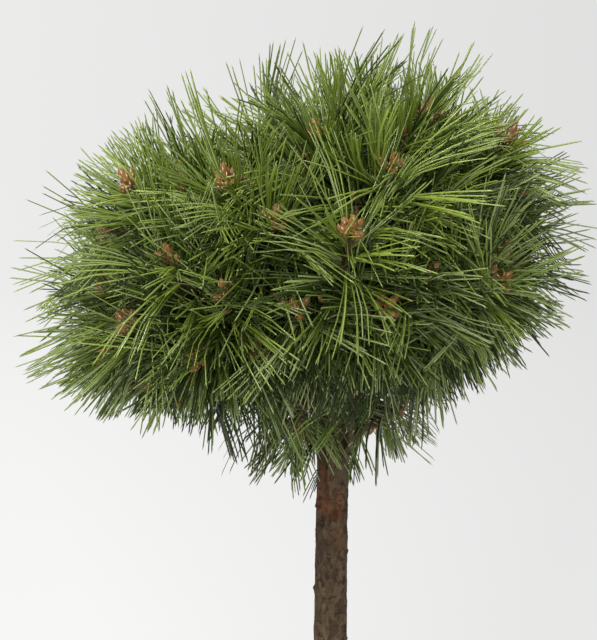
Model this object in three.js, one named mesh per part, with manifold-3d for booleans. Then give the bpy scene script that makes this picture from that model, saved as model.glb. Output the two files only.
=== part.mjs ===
// A dwarf pine grafted on a clear stem, standing in a plain clay pot.
// Millimetres, +Z up. The origin is the middle of the pot's flat underside, and the viewer looks along +Y.
// The stem carries a knuckle of boughs, each bough carries one mass of foliage, and four more masses hang
// straight from the stem. A mass is a short stem that branches into shoots, with needles and buds fused on.
import * as THREE from "three";
import { mergeVertices } from "three/addons/utils/BufferGeometryUtils.js";
import Module from "manifold-3d";

const wasm = await Module();
wasm.setup();

// Driving dimensions
const JOINT_GAP = 0.3;
// Room that a needle's end keeps to the flat sides of its mass's cell.
const CELL_ROOM = 1;
const POT = {
  height: 270,
  footRadius: 98,
  bodyRadius: 134,
  rimRadius: 150,
  rimHeight: 46,
  rimProud: 8,
  lip: 4,
  wall: 10,
  floor: 14,
  drainRadius: 7,
  drainCircle: 50,
  drains: 3,
  drainSides: 8,
  sides: 36,
};
const SOIL = { belowRim: 24, crown: 5, shoulder: 1, shoulderShare: 0.72, flatRoundStem: 8 };
const STEM = {
  footRadius: 18.5,
  neckRadius: 15.2,
  neckShare: 0.8,
  flare: 9,
  flareHeight: 16,
  knuckle: 3.5,
  knuckleHeight: 796,
  knuckleSpread: 32,
  top: 836,
  topRadius: 11,
  shoulder: 14,
  lean: 9,
  sway: 4,
  sides: 12,
  belowFoot: 10,
  closeStep: 10,
  wideStep: 72,
};
// The crown's furthest reach, as an ellipsoid whose halves differ above and below. It stands higher on its
// right, by the tilt times the distance across.
const CROWN = {
  centre: new THREE.Vector3(-27, 0, 908),
  across: 268,
  deep: 258,
  up: 228,
  down: 142,
  skirtDown: 188,
  tilt: 0.16,
};
// The shell on which the shoots end, inside the reach by about a needle's length. Each mass's cell has its seed
// a little inside the shell.
const SHELL = {
  centre: new THREE.Vector3(-27, 0, 904),
  across: 190,
  deep: 182,
  up: 142,
  down: 72,
  lowestPolar: 124,
  shoots: 56,
  jitter: 11,
  seedShare: 0.8,
};
// A bough runs out level for the first half of its way and then turns up to its mass. It ends as soon as it is
// inside the mass's cell.
const BOUGH = {
  radius: 6.6,
  tipRadius: 4.4,
  sides: 6,
  steps: 3,
  levelling: 0.75,
  elbow: 0.5,
  leastShare: 0.42,
  mostShare: 0.8,
  shareStep: 0.02,
  cellRoom: 2,
};
// A mass's own stem goes on from its bough, and its shoots leave it from branchFrom to its end.
const SPRAY_STEM = { radius: 4.2, tipRadius: 3.4, sides: 4, steps: 2, branchFrom: 0.45 };
// A shoot is a straight twig that ends in a slim core, which bears the needles and a bud. A needle leaves the
// core beside the middle line of one of its flats.
const SHOOT = {
  radius: 2.8,
  bearing: 86,
  bearingShare: 0.8,
  coreRadius: 7,
  tipRadius: 5.6,
  budLength: 17,
  sides: 4,
  shoulder: 9,
  aside: 1.2,
  aim: 0.5,
};
// Angles are in degrees from the shoot's own direction. Each further try turns and narrows a needle more.
const NEEDLE = {
  length: 104,
  lengthSpread: 0.24,
  radius: 2.8,
  perShoot: 14,
  widestAngle: 80,
  narrowestAngle: 26,
  angleSpread: 16,
  closing: 1.3,
  droop: 0.14,
  lowDroop: 0.5,
  tipDroop: 0.4,
  shortest: 0.62,
  leastLeaving: 0.35,
  endRoom: 4,
  limbRoom: 0.6,
  shootRoom: 0.6,
  needleRoom: 0.2,
  tries: 8,
  turnSpread: 0.5,
  turnPerTry: 0.8,
  narrowPerTry: 0.08,
};
const SEED = 20417;
const SEED_STEP = 977;

// The masses of foliage by ring. The polar angle runs from straight up, hubShare is how far out on the way to
// the shell a mass's stem ends, and stemHeight is where the ring's boughs leave the stem, with every second one
// a little higher.
const RINGS = [
  { name: "top", count: 1, polar: 0, turn: 0, hubShare: 0.22, stemHeight: STEM.top, stagger: 0 },
  { name: "upper", count: 5, polar: 46, turn: 18, hubShare: 0.5, stemHeight: 802, stagger: 0 },
  { name: "outer", count: 8, polar: 93, turn: 10, hubShare: 0.5, stemHeight: 766, stagger: 17 },
];
// The masses that hang round the top of the stem, straight from it.
const SKIRT = {
  name: "lower",
  count: 4,
  turn: 45,
  stemHeight: 747,
  dip: 0.2,
  seedRadius: 66,
  seedHeight: 792,
  hubRadius: 44,
  hubHeight: 796,
  tipRadius: 92,
  tipHeight: 812,
  tipSpread: 24,
  shoots: 4,
};

const UP = new THREE.Vector3(0, 0, 1);
const GOLDEN_ANGLE = Math.PI * (3 - Math.sqrt(5));
const radians = THREE.MathUtils.degToRad;

// A small seeded generator of numbers from 0 to 1.
function randomFrom(seed) {
  let state = seed >>> 0;
  return () => {
    state = (state + 0x6d2b79f5) >>> 0;
    let mixed = Math.imul(state ^ (state >>> 15), state | 1);
    mixed ^= mixed + Math.imul(mixed ^ (mixed >>> 7), mixed | 61);
    return ((mixed ^ (mixed >>> 14)) >>> 0) / 4294967296;
  };
}

function centred(random) {
  return random() - 0.5;
}

// Solids and meshes

// A copy of a geometry in which faces share their corners.
function welded(geometry) {
  const bare = geometry.clone();
  bare.deleteAttribute("normal");
  bare.deleteAttribute("uv");
  return mergeVertices(bare, 1e-3);
}

function toSolid(geometry) {
  const merged = welded(geometry);
  const corners = merged.index.array;
  const kept = [];
  for (let i = 0; i < corners.length; i += 3) {
    const [a, b, c] = [corners[i], corners[i + 1], corners[i + 2]];
    if (a !== b && b !== c && c !== a) kept.push(a, b, c);
  }
  return new wasm.Manifold(
    new wasm.Mesh({
      numProp: 3,
      vertProperties: new Float32Array(merged.attributes.position.array),
      triVerts: new Uint32Array(kept),
    }),
  );
}

function toGeometry(solid) {
  const mesh = solid.getMesh();
  const geometry = new THREE.BufferGeometry();
  geometry.setAttribute("position", new THREE.BufferAttribute(mesh.vertProperties, 3));
  geometry.setIndex(new THREE.BufferAttribute(mesh.triVerts, 1));
  geometry.computeVertexNormals();
  return geometry;
}

// The largest body of a solid, without the scraps that lie loose and with any hollow that is sealed filled.
function wholeBody(solid) {
  return solid.decompose().reduce((best, body) => (body.volume() > best.volume() ? body : best));
}

function finish(name, solid, material) {
  const mesh = new THREE.Mesh(toGeometry(wholeBody(solid)), material);
  mesh.name = name;
  return mesh;
}

function evenShares(from, to, steps) {
  return Array.from({ length: steps + 1 }, (_, i) => from + ((to - from) * i) / steps);
}

// A closed tube that follows a curve, with a ring at each of the given shares of the way.
function limb(curve, radiusAt, sides, shares) {
  const steps = shares.length - 1;
  const geometry = new THREE.CylinderGeometry(1, 1, 1, sides, steps);
  const position = geometry.attributes.position;
  let side = null;
  const rings = shares.map((share) => {
    const along = curve.getTangentAt(share);
    const nearly = side ?? (Math.abs(along.z) > 0.9 ? new THREE.Vector3(1, 0, 0) : UP);
    side = nearly.clone().addScaledVector(along, -nearly.dot(along)).normalize();
    const across = new THREE.Vector3().crossVectors(along, side);
    return { at: curve.getPointAt(share), side, across, radius: radiusAt(share) };
  });
  const point = new THREE.Vector3();
  for (let i = 0; i < position.count; i++) {
    point.fromBufferAttribute(position, i);
    const ring = rings[Math.round((point.y + 0.5) * steps)];
    const moved = ring.at.clone();
    moved.addScaledVector(ring.side, point.z * ring.radius);
    moved.addScaledVector(ring.across, point.x * ring.radius);
    position.setXYZ(i, moved.x, moved.y, moved.z);
  }
  return toSolid(geometry);
}

function turnTo(direction) {
  return new THREE.Quaternion().setFromUnitVectors(new THREE.Vector3(0, 1, 0), direction);
}

// Turns a closed geometry that points along +Y to a direction, and moves its foot to a point.
function place(geometry, from, direction) {
  const turned = welded(geometry).applyQuaternion(turnTo(direction));
  return toSolid(turned.translate(from.x, from.y, from.z));
}

function needleSolid(root, direction, length) {
  const cone = new THREE.ConeGeometry(NEEDLE.radius, length, 3);
  return place(cone.translate(0, length / 2, 0), root, direction);
}

function turned(profile, sides) {
  const points = profile.map(([radius, height]) => new THREE.Vector2(radius, height));
  return toSolid(new THREE.LatheGeometry(points, sides).rotateX(Math.PI / 2));
}

// Distances

// The gap between two straight lines, and how far along each it is narrowest.
function closest(a0, a1, b0, b1) {
  const a = a1.clone().sub(a0);
  const b = b1.clone().sub(b0);
  const between = a0.clone().sub(b0);
  const aa = a.dot(a);
  const bb = b.dot(b);
  const ab = a.dot(b);
  const clamp = THREE.MathUtils.clamp;
  const spread = aa * bb - ab * ab;
  let s = spread > 1e-9 ? clamp((ab * b.dot(between) - bb * a.dot(between)) / spread, 0, 1) : 0;
  const t = clamp((ab * s + b.dot(between)) / bb, 0, 1);
  s = clamp((ab * t - a.dot(between)) / aa, 0, 1);
  const gap = a0.clone().addScaledVector(a, s).distanceTo(b0.clone().addScaledVector(b, t));
  return { gap, s, t };
}

// A limb as a chain of straight stretches, which needles are kept off.
function chain(curve, radiusAt, from, to, pieces) {
  const stretches = [];
  for (let i = 0; i < pieces; i++) {
    const near = from + ((to - from) * i) / pieces;
    const far = from + ((to - from) * (i + 1)) / pieces;
    stretches.push({
      start: curve.getPointAt(near),
      end: curve.getPointAt(far),
      radius: Math.max(radiusAt(near), radiusAt(far)),
    });
  }
  return stretches;
}

function touches(stretches, start, end, room) {
  return stretches.some((s) => closest(s.start, s.end, start, end).gap < s.radius + room);
}

// Two needles taper to a point, so they may pass closer to each other near their tips.
function crosses(needles, start, end) {
  return needles.some((other) => {
    const { gap, s, t } = closest(other.start, other.end, start, end);
    return gap < NEEDLE.radius * (2 - s - t) + NEEDLE.needleRoom;
  });
}

// How far along a line from inside the crown's reach can run, as a share of its length.
function shareInReach(start, end, down) {
  const outside = (share) => {
    const p = start.clone().lerp(end, share).sub(CROWN.centre);
    p.z -= CROWN.tilt * p.x;
    const high = p.z > 0 ? CROWN.up : down;
    return (p.x / CROWN.across) ** 2 + (p.y / CROWN.deep) ** 2 + (p.z / high) ** 2 > 1;
  };
  if (!outside(1)) return 1;
  let [inner, outer] = [0, 1];
  for (let i = 0; i < 12; i++) {
    const middle = (inner + outer) / 2;
    if (outside(middle)) outer = middle;
    else inner = middle;
  }
  return inner;
}

// The layout of the crown

function onShell(polar, turn, share = 1) {
  const high = Math.cos(polar) > 0 ? SHELL.up : SHELL.down;
  const x = Math.sin(polar) * Math.cos(turn) * SHELL.across;
  const y = Math.sin(polar) * Math.sin(turn) * SHELL.deep;
  const z = Math.cos(polar) * high + CROWN.tilt * x;
  return new THREE.Vector3(x, y, z).multiplyScalar(share).add(SHELL.centre);
}

// How low on the shell a point is, from 0 at the level of its middle to 1.
function lowness(point) {
  const middle = SHELL.centre.z + CROWN.tilt * (point.x - SHELL.centre.x);
  return THREE.MathUtils.clamp((middle - point.z) / SHELL.down, 0, 1);
}

function aroundStem(turn, radius, height) {
  const middle = stemCurve.getPointAt(shareAtHeight(height));
  return new THREE.Vector3(
    middle.x + Math.cos(turn) * radius,
    middle.y + Math.sin(turn) * radius,
    height,
  );
}

// One entry for each mass: where its stem starts, its hub, the seed of its cell and its shoots' tips.
function layOutMasses() {
  const masses = [];
  for (const ring of RINGS) {
    for (let i = 0; i < ring.count; i++) {
      const turn = radians(ring.turn) + (i * 2 * Math.PI) / ring.count;
      const polar = radians(ring.polar);
      masses.push({
        name: ring.count > 1 ? `${ring.name}_${i + 1}` : ring.name,
        seed: onShell(polar, turn, SHELL.seedShare),
        hub: onShell(polar, turn, ring.hubShare),
        stemHeight: ring.stemHeight + (i % 2) * ring.stagger,
        down: CROWN.down,
        bough: true,
        tips: [],
      });
    }
  }
  for (let i = 0; i < SKIRT.count; i++) {
    const turn = radians(SKIRT.turn) + (i * 2 * Math.PI) / SKIRT.count;
    const tips = [];
    for (let j = 0; j < SKIRT.shoots; j++) {
      const aside = radians(SKIRT.tipSpread) * (j - (SKIRT.shoots - 1) / 2);
      tips.push(aroundStem(turn + aside, SKIRT.tipRadius, SKIRT.tipHeight));
    }
    masses.push({
      name: `${SKIRT.name}_${i + 1}`,
      seed: aroundStem(turn, SKIRT.seedRadius, SKIRT.seedHeight),
      hub: aroundStem(turn, SKIRT.hubRadius, SKIRT.hubHeight),
      stemHeight: SKIRT.stemHeight,
      down: CROWN.skirtDown,
      bough: false,
      tips,
    });
  }
  return masses;
}

// Shoot tips are spread evenly over the shell on a spiral, then moved a little, and go to the nearest mass.
function dealOutTips(masses) {
  const random = randomFrom(SEED);
  const lowest = Math.cos(radians(SHELL.lowestPolar));
  for (let i = 0; i < SHELL.shoots; i++) {
    const cosine = 1 - ((i + 0.5) / SHELL.shoots) * (1 - lowest);
    const tip = onShell(Math.acos(cosine), i * GOLDEN_ANGLE);
    tip.x += centred(random) * 2 * SHELL.jitter;
    tip.y += centred(random) * 2 * SHELL.jitter;
    tip.z += centred(random) * 2 * SHELL.jitter;
    const nearest = masses.reduce((best, mass) =>
      tip.distanceTo(mass.seed) < tip.distanceTo(best.seed) ? mass : best,
    );
    nearest.tips.push(tip);
  }
}

// How deep a point lies inside a mass's own cell, measured from the nearest flat side that it shares.
function depthInCell(mass, masses, point) {
  const depths = masses.map((other) => {
    if (other === mass) return Infinity;
    const nearer = point.distanceToSquared(other.seed) - point.distanceToSquared(mass.seed);
    return nearer / (2 * other.seed.distanceTo(mass.seed));
  });
  return Math.min(...depths);
}

// How far along a line from inside a mass's cell can run, as a share of its length.
function shareInCell(mass, masses, start, end) {
  return masses.reduce((share, other) => {
    if (other === mass) return share;
    const pair = [mass, other];
    const near = depthInCell(mass, pair, start) - CELL_ROOM;
    const far = depthInCell(mass, pair, end) - CELL_ROOM;
    return far < 0 ? Math.min(share, near / (near - far)) : share;
  }, 1);
}

// The stem

const stemFoot = POT.height - SOIL.belowRim + JOINT_GAP;
const stemStart = stemFoot - STEM.belowFoot;
const stemLength = STEM.top - stemStart;
const stemCurve = new THREE.CatmullRomCurve3([
  new THREE.Vector3(-STEM.lean, 0, stemStart),
  new THREE.Vector3(-STEM.lean * 0.7 + STEM.sway * 0.5, STEM.sway, stemStart + stemLength * 0.3),
  new THREE.Vector3(-STEM.lean * 0.3, -STEM.sway * 0.6, stemStart + stemLength * 0.62),
  new THREE.Vector3(0, 0, STEM.top),
]);

function shareAtHeight(height) {
  return THREE.MathUtils.clamp((height - stemStart) / stemLength, 0, 1);
}

function stemRadius(share) {
  const height = stemStart + share * stemLength;
  const taper = STEM.footRadius + (STEM.neckRadius - STEM.footRadius) * Math.min(1, share / STEM.neckShare);
  const flare = STEM.flare * Math.exp(-Math.max(0, height - stemFoot) / STEM.flareHeight);
  const knuckle = STEM.knuckle * Math.exp(-(((height - STEM.knuckleHeight) / STEM.knuckleSpread) ** 2));
  const shoulder = Math.max(0, 1 - (STEM.top - height) / STEM.shoulder);
  const shrink = STEM.neckRadius + knuckle - STEM.topRadius;
  return taper + flare + knuckle - shrink * shoulder;
}

// Shares of the stem's rings, which are closer together at the flare and at the knuckle.
function stemShares() {
  const shares = [];
  let height = stemStart;
  while (height < STEM.top - STEM.closeStep / 2) {
    shares.push(shareAtHeight(height));
    const nearFlare = height < stemFoot + STEM.flareHeight * 2.5;
    const nearKnuckle = height > STEM.knuckleHeight - STEM.knuckleSpread * 1.8;
    height += nearFlare || nearKnuckle ? STEM.closeStep : STEM.wideStep;
  }
  shares.push(1);
  return shares;
}

// The stem's foot is cut flat where it meets the soil.
function stemSolid(grow = 0) {
  const whole = limb(stemCurve, (share) => stemRadius(share) + grow, STEM.sides, stemShares());
  const wide = STEM.footRadius * 6;
  const below = new THREE.BoxGeometry(wide, wide, wide).translate(0, 0, stemFoot - wide / 2);
  return whole.subtract(toSolid(below));
}

// Boughs and masses

// The line from the stem's axis to a mass's hub, which first runs outwards and then turns up.
function limbCurve(mass) {
  const start = stemCurve.getPointAt(shareAtHeight(mass.stemHeight));
  if (mass.stemHeight >= STEM.top) start.z = STEM.top + JOINT_GAP;
  const reach = mass.hub.distanceTo(start);
  const out = mass.hub.clone().sub(start).normalize();
  out.z = mass.bough ? out.z * BOUGH.levelling : out.z - SKIRT.dip;
  const elbow = start.clone().addScaledVector(out.normalize(), reach * BOUGH.elbow);
  return new THREE.QuadraticBezierCurve3(start, elbow, mass.hub);
}

function boughRadius(share, end) {
  return BOUGH.radius + ((BOUGH.tipRadius - BOUGH.radius) * share) / end;
}

// Where a bough ends and its mass begins, as a share of the line to the hub.
function entryShare(mass, masses) {
  if (!mass.bough) return 0;
  const room = BOUGH.tipRadius + BOUGH.cellRoom;
  for (let share = BOUGH.leastShare; share < BOUGH.mostShare; share += BOUGH.shareStep) {
    if (depthInCell(mass, masses, mass.curve.getPointAt(share)) >= room) return share;
  }
  return BOUGH.mostShare;
}

// A shoot's start, tip, heading and length, and how far from its start its core begins.
function shootFrom(mass, tip, index) {
  const last = Math.max(1, mass.tips.length - 1);
  const along = SPRAY_STEM.branchFrom + ((1 - SPRAY_STEM.branchFrom) * index) / last;
  const start = mass.curve.getPointAt(Math.min(1, mass.entry + (1 - mass.entry) * along));
  const heading = tip.clone().sub(start);
  const length = heading.length();
  const bearing = Math.min(SHOOT.bearing, length * SHOOT.bearingShare);
  return { start, tip, heading: heading.normalize(), length, bearing, coreFrom: length - bearing };
}

function shootSolid(shoot) {
  const outline = [
    new THREE.Vector2(0, 0),
    new THREE.Vector2(SHOOT.radius, 1),
    new THREE.Vector2(SHOOT.radius, shoot.coreFrom),
    new THREE.Vector2(SHOOT.coreRadius, shoot.coreFrom + SHOOT.shoulder),
    new THREE.Vector2(SHOOT.tipRadius, shoot.length),
    new THREE.Vector2(0, shoot.length + SHOOT.budLength),
  ];
  return place(new THREE.LatheGeometry(outline, SHOOT.sides), shoot.start, shoot.heading);
}

// The straight stretches of a shoot, which the needles of the mass's other shoots are kept off.
function shootStretches(shoot) {
  const foot = shoot.start.clone().addScaledVector(shoot.heading, shoot.coreFrom);
  const bud = shoot.tip.clone().addScaledVector(shoot.heading, SHOOT.budLength);
  return [
    { start: shoot.start, end: foot, radius: SHOOT.radius },
    { start: foot, end: bud, radius: SHOOT.coreRadius },
  ];
}

// One needle's line, or null where every try would leave the mass's space or touch a limb or a needle.
// It leaves the core through the middle of one of its flat sides, and its root is sunk to the core's axis.
function placeNeedle(scene, mass, shoot, index, random) {
  const back = (index + 0.5) / NEEDLE.perShoot;
  const span = shoot.bearing - SHOOT.shoulder - NEEDLE.endRoom * 2;
  const height = shoot.coreFrom + SHOOT.shoulder + NEEDLE.endRoom + span * back;
  const taper = (height - shoot.coreFrom) / shoot.bearing;
  const turn = turnTo(shoot.heading);
  const flatTurn = (2 * Math.PI) / SHOOT.sides;
  const depth = (SHOOT.coreRadius + (SHOOT.tipRadius - SHOOT.coreRadius) * taper) * Math.cos(flatTurn / 2);
  const droop = NEEDLE.droop + NEEDLE.lowDroop * lowness(shoot.tip) * (1 - (1 - NEEDLE.tipDroop) * back);
  const closed = back ** NEEDLE.closing;
  const angle = NEEDLE.widestAngle + (NEEDLE.narrowestAngle - NEEDLE.widestAngle) * closed;
  for (let attempt = 0; attempt < NEEDLE.tries; attempt++) {
    const around = shoot.phase + index * GOLDEN_ANGLE + centred(random) * (NEEDLE.turnSpread + attempt * NEEDLE.turnPerTry);
    const flat = (Math.floor(around / flatTurn) + 0.5) * flatTurn;
    const aim = flat + (around - flat) * SHOOT.aim;
    const normal = new THREE.Vector3(Math.sin(flat), 0, Math.cos(flat)).applyQuaternion(turn);
    const outward = new THREE.Vector3(Math.sin(aim), 0, Math.cos(aim)).applyQuaternion(turn);
    const narrowed = 1 - NEEDLE.narrowPerTry * attempt;
    const spread = radians(angle + centred(random) * NEEDLE.angleSpread) * narrowed;
    const direction = shoot.heading.clone().multiplyScalar(Math.cos(spread));
    direction.addScaledVector(outward, Math.sin(spread));
    direction.z -= droop * Math.sin(spread);
    direction.normalize();
    const leaving = direction.dot(normal);
    if (leaving < NEEDLE.leastLeaving) continue;
    const aside = new THREE.Vector3().crossVectors(normal, shoot.heading);
    const start = shoot.start.clone().addScaledVector(shoot.heading, height).addScaledVector(normal, depth);
    start.addScaledVector(aside, back < 0.5 ? SHOOT.aside : -SHOOT.aside);
    if (depthInCell(mass, scene.masses, start) < NEEDLE.radius) continue;
    const full = NEEDLE.length * (1 + centred(random) * NEEDLE.lengthSpread);
    const end = start.clone().addScaledVector(direction, full);
    const inReach = shareInReach(start, end, mass.down);
    const kept = Math.min(inReach, shareInCell(mass, scene.masses, start, end));
    if (kept < NEEDLE.shortest) continue;
    end.copy(start).addScaledVector(direction, full * kept);
    if (touches(scene.limbs, start, end, NEEDLE.radius + NEEDLE.limbRoom)) continue;
    if (touches(shoot.others, start, end, NEEDLE.radius * NEEDLE.shootRoom)) continue;
    if (crosses(mass.needles, start, end)) continue;
    mass.needles.push({ start, end });
    const root = start.clone().addScaledVector(direction, -depth / leaving);
    return { root, direction, length: root.distanceTo(end) };
  }
  return null;
}

function growMass(scene, mass, order) {
  const random = randomFrom(SEED + SEED_STEP * (order + 1));
  const start = mass.entry + (mass.bough ? JOINT_GAP / mass.curve.getLength() : 0);
  const stemRadiusAt = (share) => {
    const along = (share - start) / (1 - start);
    return SPRAY_STEM.radius + (SPRAY_STEM.tipRadius - SPRAY_STEM.radius) * along;
  };
  let solid = limb(mass.curve, stemRadiusAt, SPRAY_STEM.sides, evenShares(start, 1, SPRAY_STEM.steps));
  mass.needles = [];
  const shoots = mass.tips.map((tip, index) => shootFrom(mass, tip, index));
  const stretches = shoots.map(shootStretches);
  shoots.forEach((shoot, index) => {
    shoot.others = stretches.filter((_, other) => other !== index).flat();
    shoot.phase = random() * 2 * Math.PI;
    solid = solid.add(shootSolid(shoot));
    for (let i = 0; i < NEEDLE.perShoot; i++) {
      const needle = placeNeedle(scene, mass, shoot, i, random);
      if (!needle) continue;
      solid = solid.add(needleSolid(needle.root, needle.direction, needle.length));
    }
  });
  return mass.bough ? solid : solid.subtract(scene.stemGrown);
}

function buildCrown(materials) {
  const masses = layOutMasses();
  dealOutTips(masses);
  for (const mass of masses) {
    mass.curve = limbCurve(mass);
    mass.entry = entryShare(mass, masses);
  }
  const stemGrown = stemSolid(JOINT_GAP);
  const limbs = chain(stemCurve, stemRadius, 0.7, 1, 8);
  for (const mass of masses.filter((m) => m.bough)) {
    limbs.push(...chain(mass.curve, (s) => boughRadius(s, mass.entry), 0, mass.entry, 5));
  }
  const scene = { masses, limbs, stemGrown };
  const boughs = new THREE.Group();
  const foliage = new THREE.Group();
  masses.forEach((mass, order) => {
    if (mass.bough) {
      const radiusAt = (share) => boughRadius(share, mass.entry);
      const whole = limb(mass.curve, radiusAt, BOUGH.sides, evenShares(0, mass.entry, BOUGH.steps));
      boughs.add(finish(`bough_${mass.name}`, whole.subtract(stemGrown), materials.bark));
    }
    foliage.add(finish(`foliage_${mass.name}`, growMass(scene, mass, order), materials.needles));
  });
  const crown = new THREE.Group();
  crown.add(boughs, foliage);
  return crown;
}

// The pot and what fills it

const mouthRadius = POT.rimRadius - POT.wall - POT.rimProud / 2;
const innerFloorRadius = POT.footRadius - POT.wall;

function potSolid() {
  const rimBottom = POT.height - POT.rimHeight;
  const body = turned(
    [
      [0, 0],
      [POT.footRadius - POT.lip, 0],
      [POT.footRadius, POT.lip],
      [POT.bodyRadius, rimBottom],
      [POT.rimRadius - POT.lip, rimBottom + POT.lip / 2],
      [POT.rimRadius - 1, rimBottom + POT.lip * 1.5],
      [POT.rimRadius, POT.height - POT.lip * 1.5],
      [POT.rimRadius - POT.lip, POT.height],
      [mouthRadius + POT.lip, POT.height],
      [mouthRadius, POT.height - POT.lip],
      [innerFloorRadius, POT.floor],
      [0, POT.floor],
    ],
    POT.sides,
  );
  let pot = body;
  for (let i = 0; i < POT.drains; i++) {
    const turn = (i * 2 * Math.PI) / POT.drains + Math.PI / 2;
    const drain = new THREE.CylinderGeometry(POT.drainRadius, POT.drainRadius, POT.floor * 3, POT.drainSides);
    drain.rotateX(Math.PI / 2);
    drain.translate(Math.cos(turn) * POT.drainCircle, Math.sin(turn) * POT.drainCircle, 0);
    pot = pot.subtract(toSolid(drain));
  }
  return pot;
}

// The inside radius of the pot at a height, on the straight wall between its floor and its mouth.
function innerRadius(height) {
  const share = (height - POT.floor) / (POT.height - POT.lip - POT.floor);
  return innerFloorRadius + (mouthRadius - innerFloorRadius) * share;
}

function soilSolid() {
  const bottom = POT.floor + JOINT_GAP;
  const top = POT.height - SOIL.belowRim;
  const edge = top - SOIL.crown;
  return turned(
    [
      [0, bottom],
      [innerRadius(bottom) - JOINT_GAP, bottom],
      [innerRadius(edge) - JOINT_GAP, edge],
      [innerRadius(edge) * SOIL.shoulderShare, top - SOIL.shoulder],
      [STEM.footRadius + STEM.flare + SOIL.flatRoundStem, top],
      [0, top],
    ],
    POT.sides,
  );
}

const materials = {
  clay: new THREE.MeshStandardMaterial({ color: 0xa9623f, roughness: 0.85, metalness: 0 }),
  soil: new THREE.MeshStandardMaterial({ color: 0x3a2a1e, roughness: 1, metalness: 0 }),
  bark: new THREE.MeshStandardMaterial({ color: 0x51402f, roughness: 0.9, metalness: 0 }),
  needles: new THREE.MeshStandardMaterial({ color: 0x5f7d38, roughness: 0.5, metalness: 0 }),
};

const plant = new THREE.Group();
plant.add(finish("pot", potSolid(), materials.clay));
plant.add(finish("soil", soilSolid(), materials.soil));
plant.add(finish("trunk", stemSolid(), materials.bark));
plant.add(buildCrown(materials));

export default plant;
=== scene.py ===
# A dwarf pine grafted on a clear stem, in a plain clay pot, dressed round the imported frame.
# Metres, +Z up. The origin is the middle of the pot's flat underside, and the viewer looks along +Y.

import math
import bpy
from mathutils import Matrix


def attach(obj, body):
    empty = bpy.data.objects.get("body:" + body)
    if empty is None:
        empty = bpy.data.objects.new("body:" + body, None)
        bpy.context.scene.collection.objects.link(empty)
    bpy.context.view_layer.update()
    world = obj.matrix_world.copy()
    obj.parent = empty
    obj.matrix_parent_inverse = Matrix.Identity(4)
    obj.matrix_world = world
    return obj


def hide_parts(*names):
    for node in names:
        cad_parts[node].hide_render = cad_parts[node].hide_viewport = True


bl_info = {
    "name": "Grafted pine in a clay pot",
    "version": (1, 0, 0),
    "blender": (4, 5, 0),
    "location": "3D View > Sidebar > Pine",
    "description": "Builds the pot, compost, bark, twigs, needles and buds of a grafted dwarf pine",
    "category": "Add Mesh",
}

import bmesh
import bpy
import numpy as np
from bpy.props import FloatProperty, FloatVectorProperty, IntProperty, PointerProperty
from mathutils import Matrix, Vector, noise

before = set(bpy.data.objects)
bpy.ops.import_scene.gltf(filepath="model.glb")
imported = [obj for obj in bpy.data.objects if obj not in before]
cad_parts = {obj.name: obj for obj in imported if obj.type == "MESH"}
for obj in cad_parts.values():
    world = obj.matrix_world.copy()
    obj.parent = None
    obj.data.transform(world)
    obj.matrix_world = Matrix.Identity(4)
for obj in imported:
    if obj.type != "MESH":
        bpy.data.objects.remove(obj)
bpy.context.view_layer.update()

JOINT_GAP = 0.0003
GOLDEN_ANGLE = math.pi * (3 - math.sqrt(5))

# The masses of foliage by ring. The polar angle runs from straight up, hub_share is how far out on the way to
# the shell a mass's stem ends, and stem_height is where the ring's boughs leave the stem.
RINGS = (
    {"name": "top", "count": 1, "polar": 0, "turn": 0, "hub_share": 0.22, "stem_height": 0.836, "stagger": 0},
    {"name": "upper", "count": 5, "polar": 46, "turn": 18, "hub_share": 0.5, "stem_height": 0.802, "stagger": 0},
    {"name": "outer", "count": 8, "polar": 93, "turn": 10, "hub_share": 0.5, "stem_height": 0.766, "stagger": 0.017},
)
# The masses that hang round the top of the stem, straight from it.
SKIRT = {
    "name": "lower",
    "count": 4,
    "turn": 45,
    "stem_height": 0.747,
    "dip": 0.2,
    "seed_radius": 0.066,
    "seed_height": 0.792,
    "hub_radius": 0.044,
    "hub_height": 0.796,
    "tip_radius": 0.092,
    "tip_height": 0.812,
    "tip_spread": 24,
    "shoots": 4,
}
STEM_SHAPE = {
    "neck_share": 0.8,
    "flare": 0.009,
    "flare_height": 0.016,
    "knuckle": 0.0035,
    "knuckle_height": 0.796,
    "knuckle_spread": 0.032,
    "shoulder": 0.014,
    "lean": 0.009,
    "sway": 0.004,
    "below_foot": 0.01,
}
BOUGH_SHAPE = {
    "levelling": 0.75,
    "elbow": 0.5,
    "least_share": 0.42,
    "most_share": 0.8,
    "share_step": 0.02,
    "cell_room": 0.002,
    "branch_from": 0.45,
}
SHOOT_SHAPE = {
    "shyness_power": 1.6,
    "low_levelling": 0.7,
    "elbow": 0.45,
    "side_from": 0.36,
    "side_step": 0.2,
    "side_step_stray": 0.08,
    "side_turn_stray": 1.4,
    "side_stray": 0.3,
    "side_straightening": 0.4,
    "side_rising": 0.5,
    "side_elbow": 0.5,
}
NEARLY_UPRIGHT = 0.9
LAYOUT_SEED = 20417
SEED_STEP = 977
KNOT_SEED, BUD_SEED, NEEDLE_SEEDS = 5, 31, 101

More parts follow.
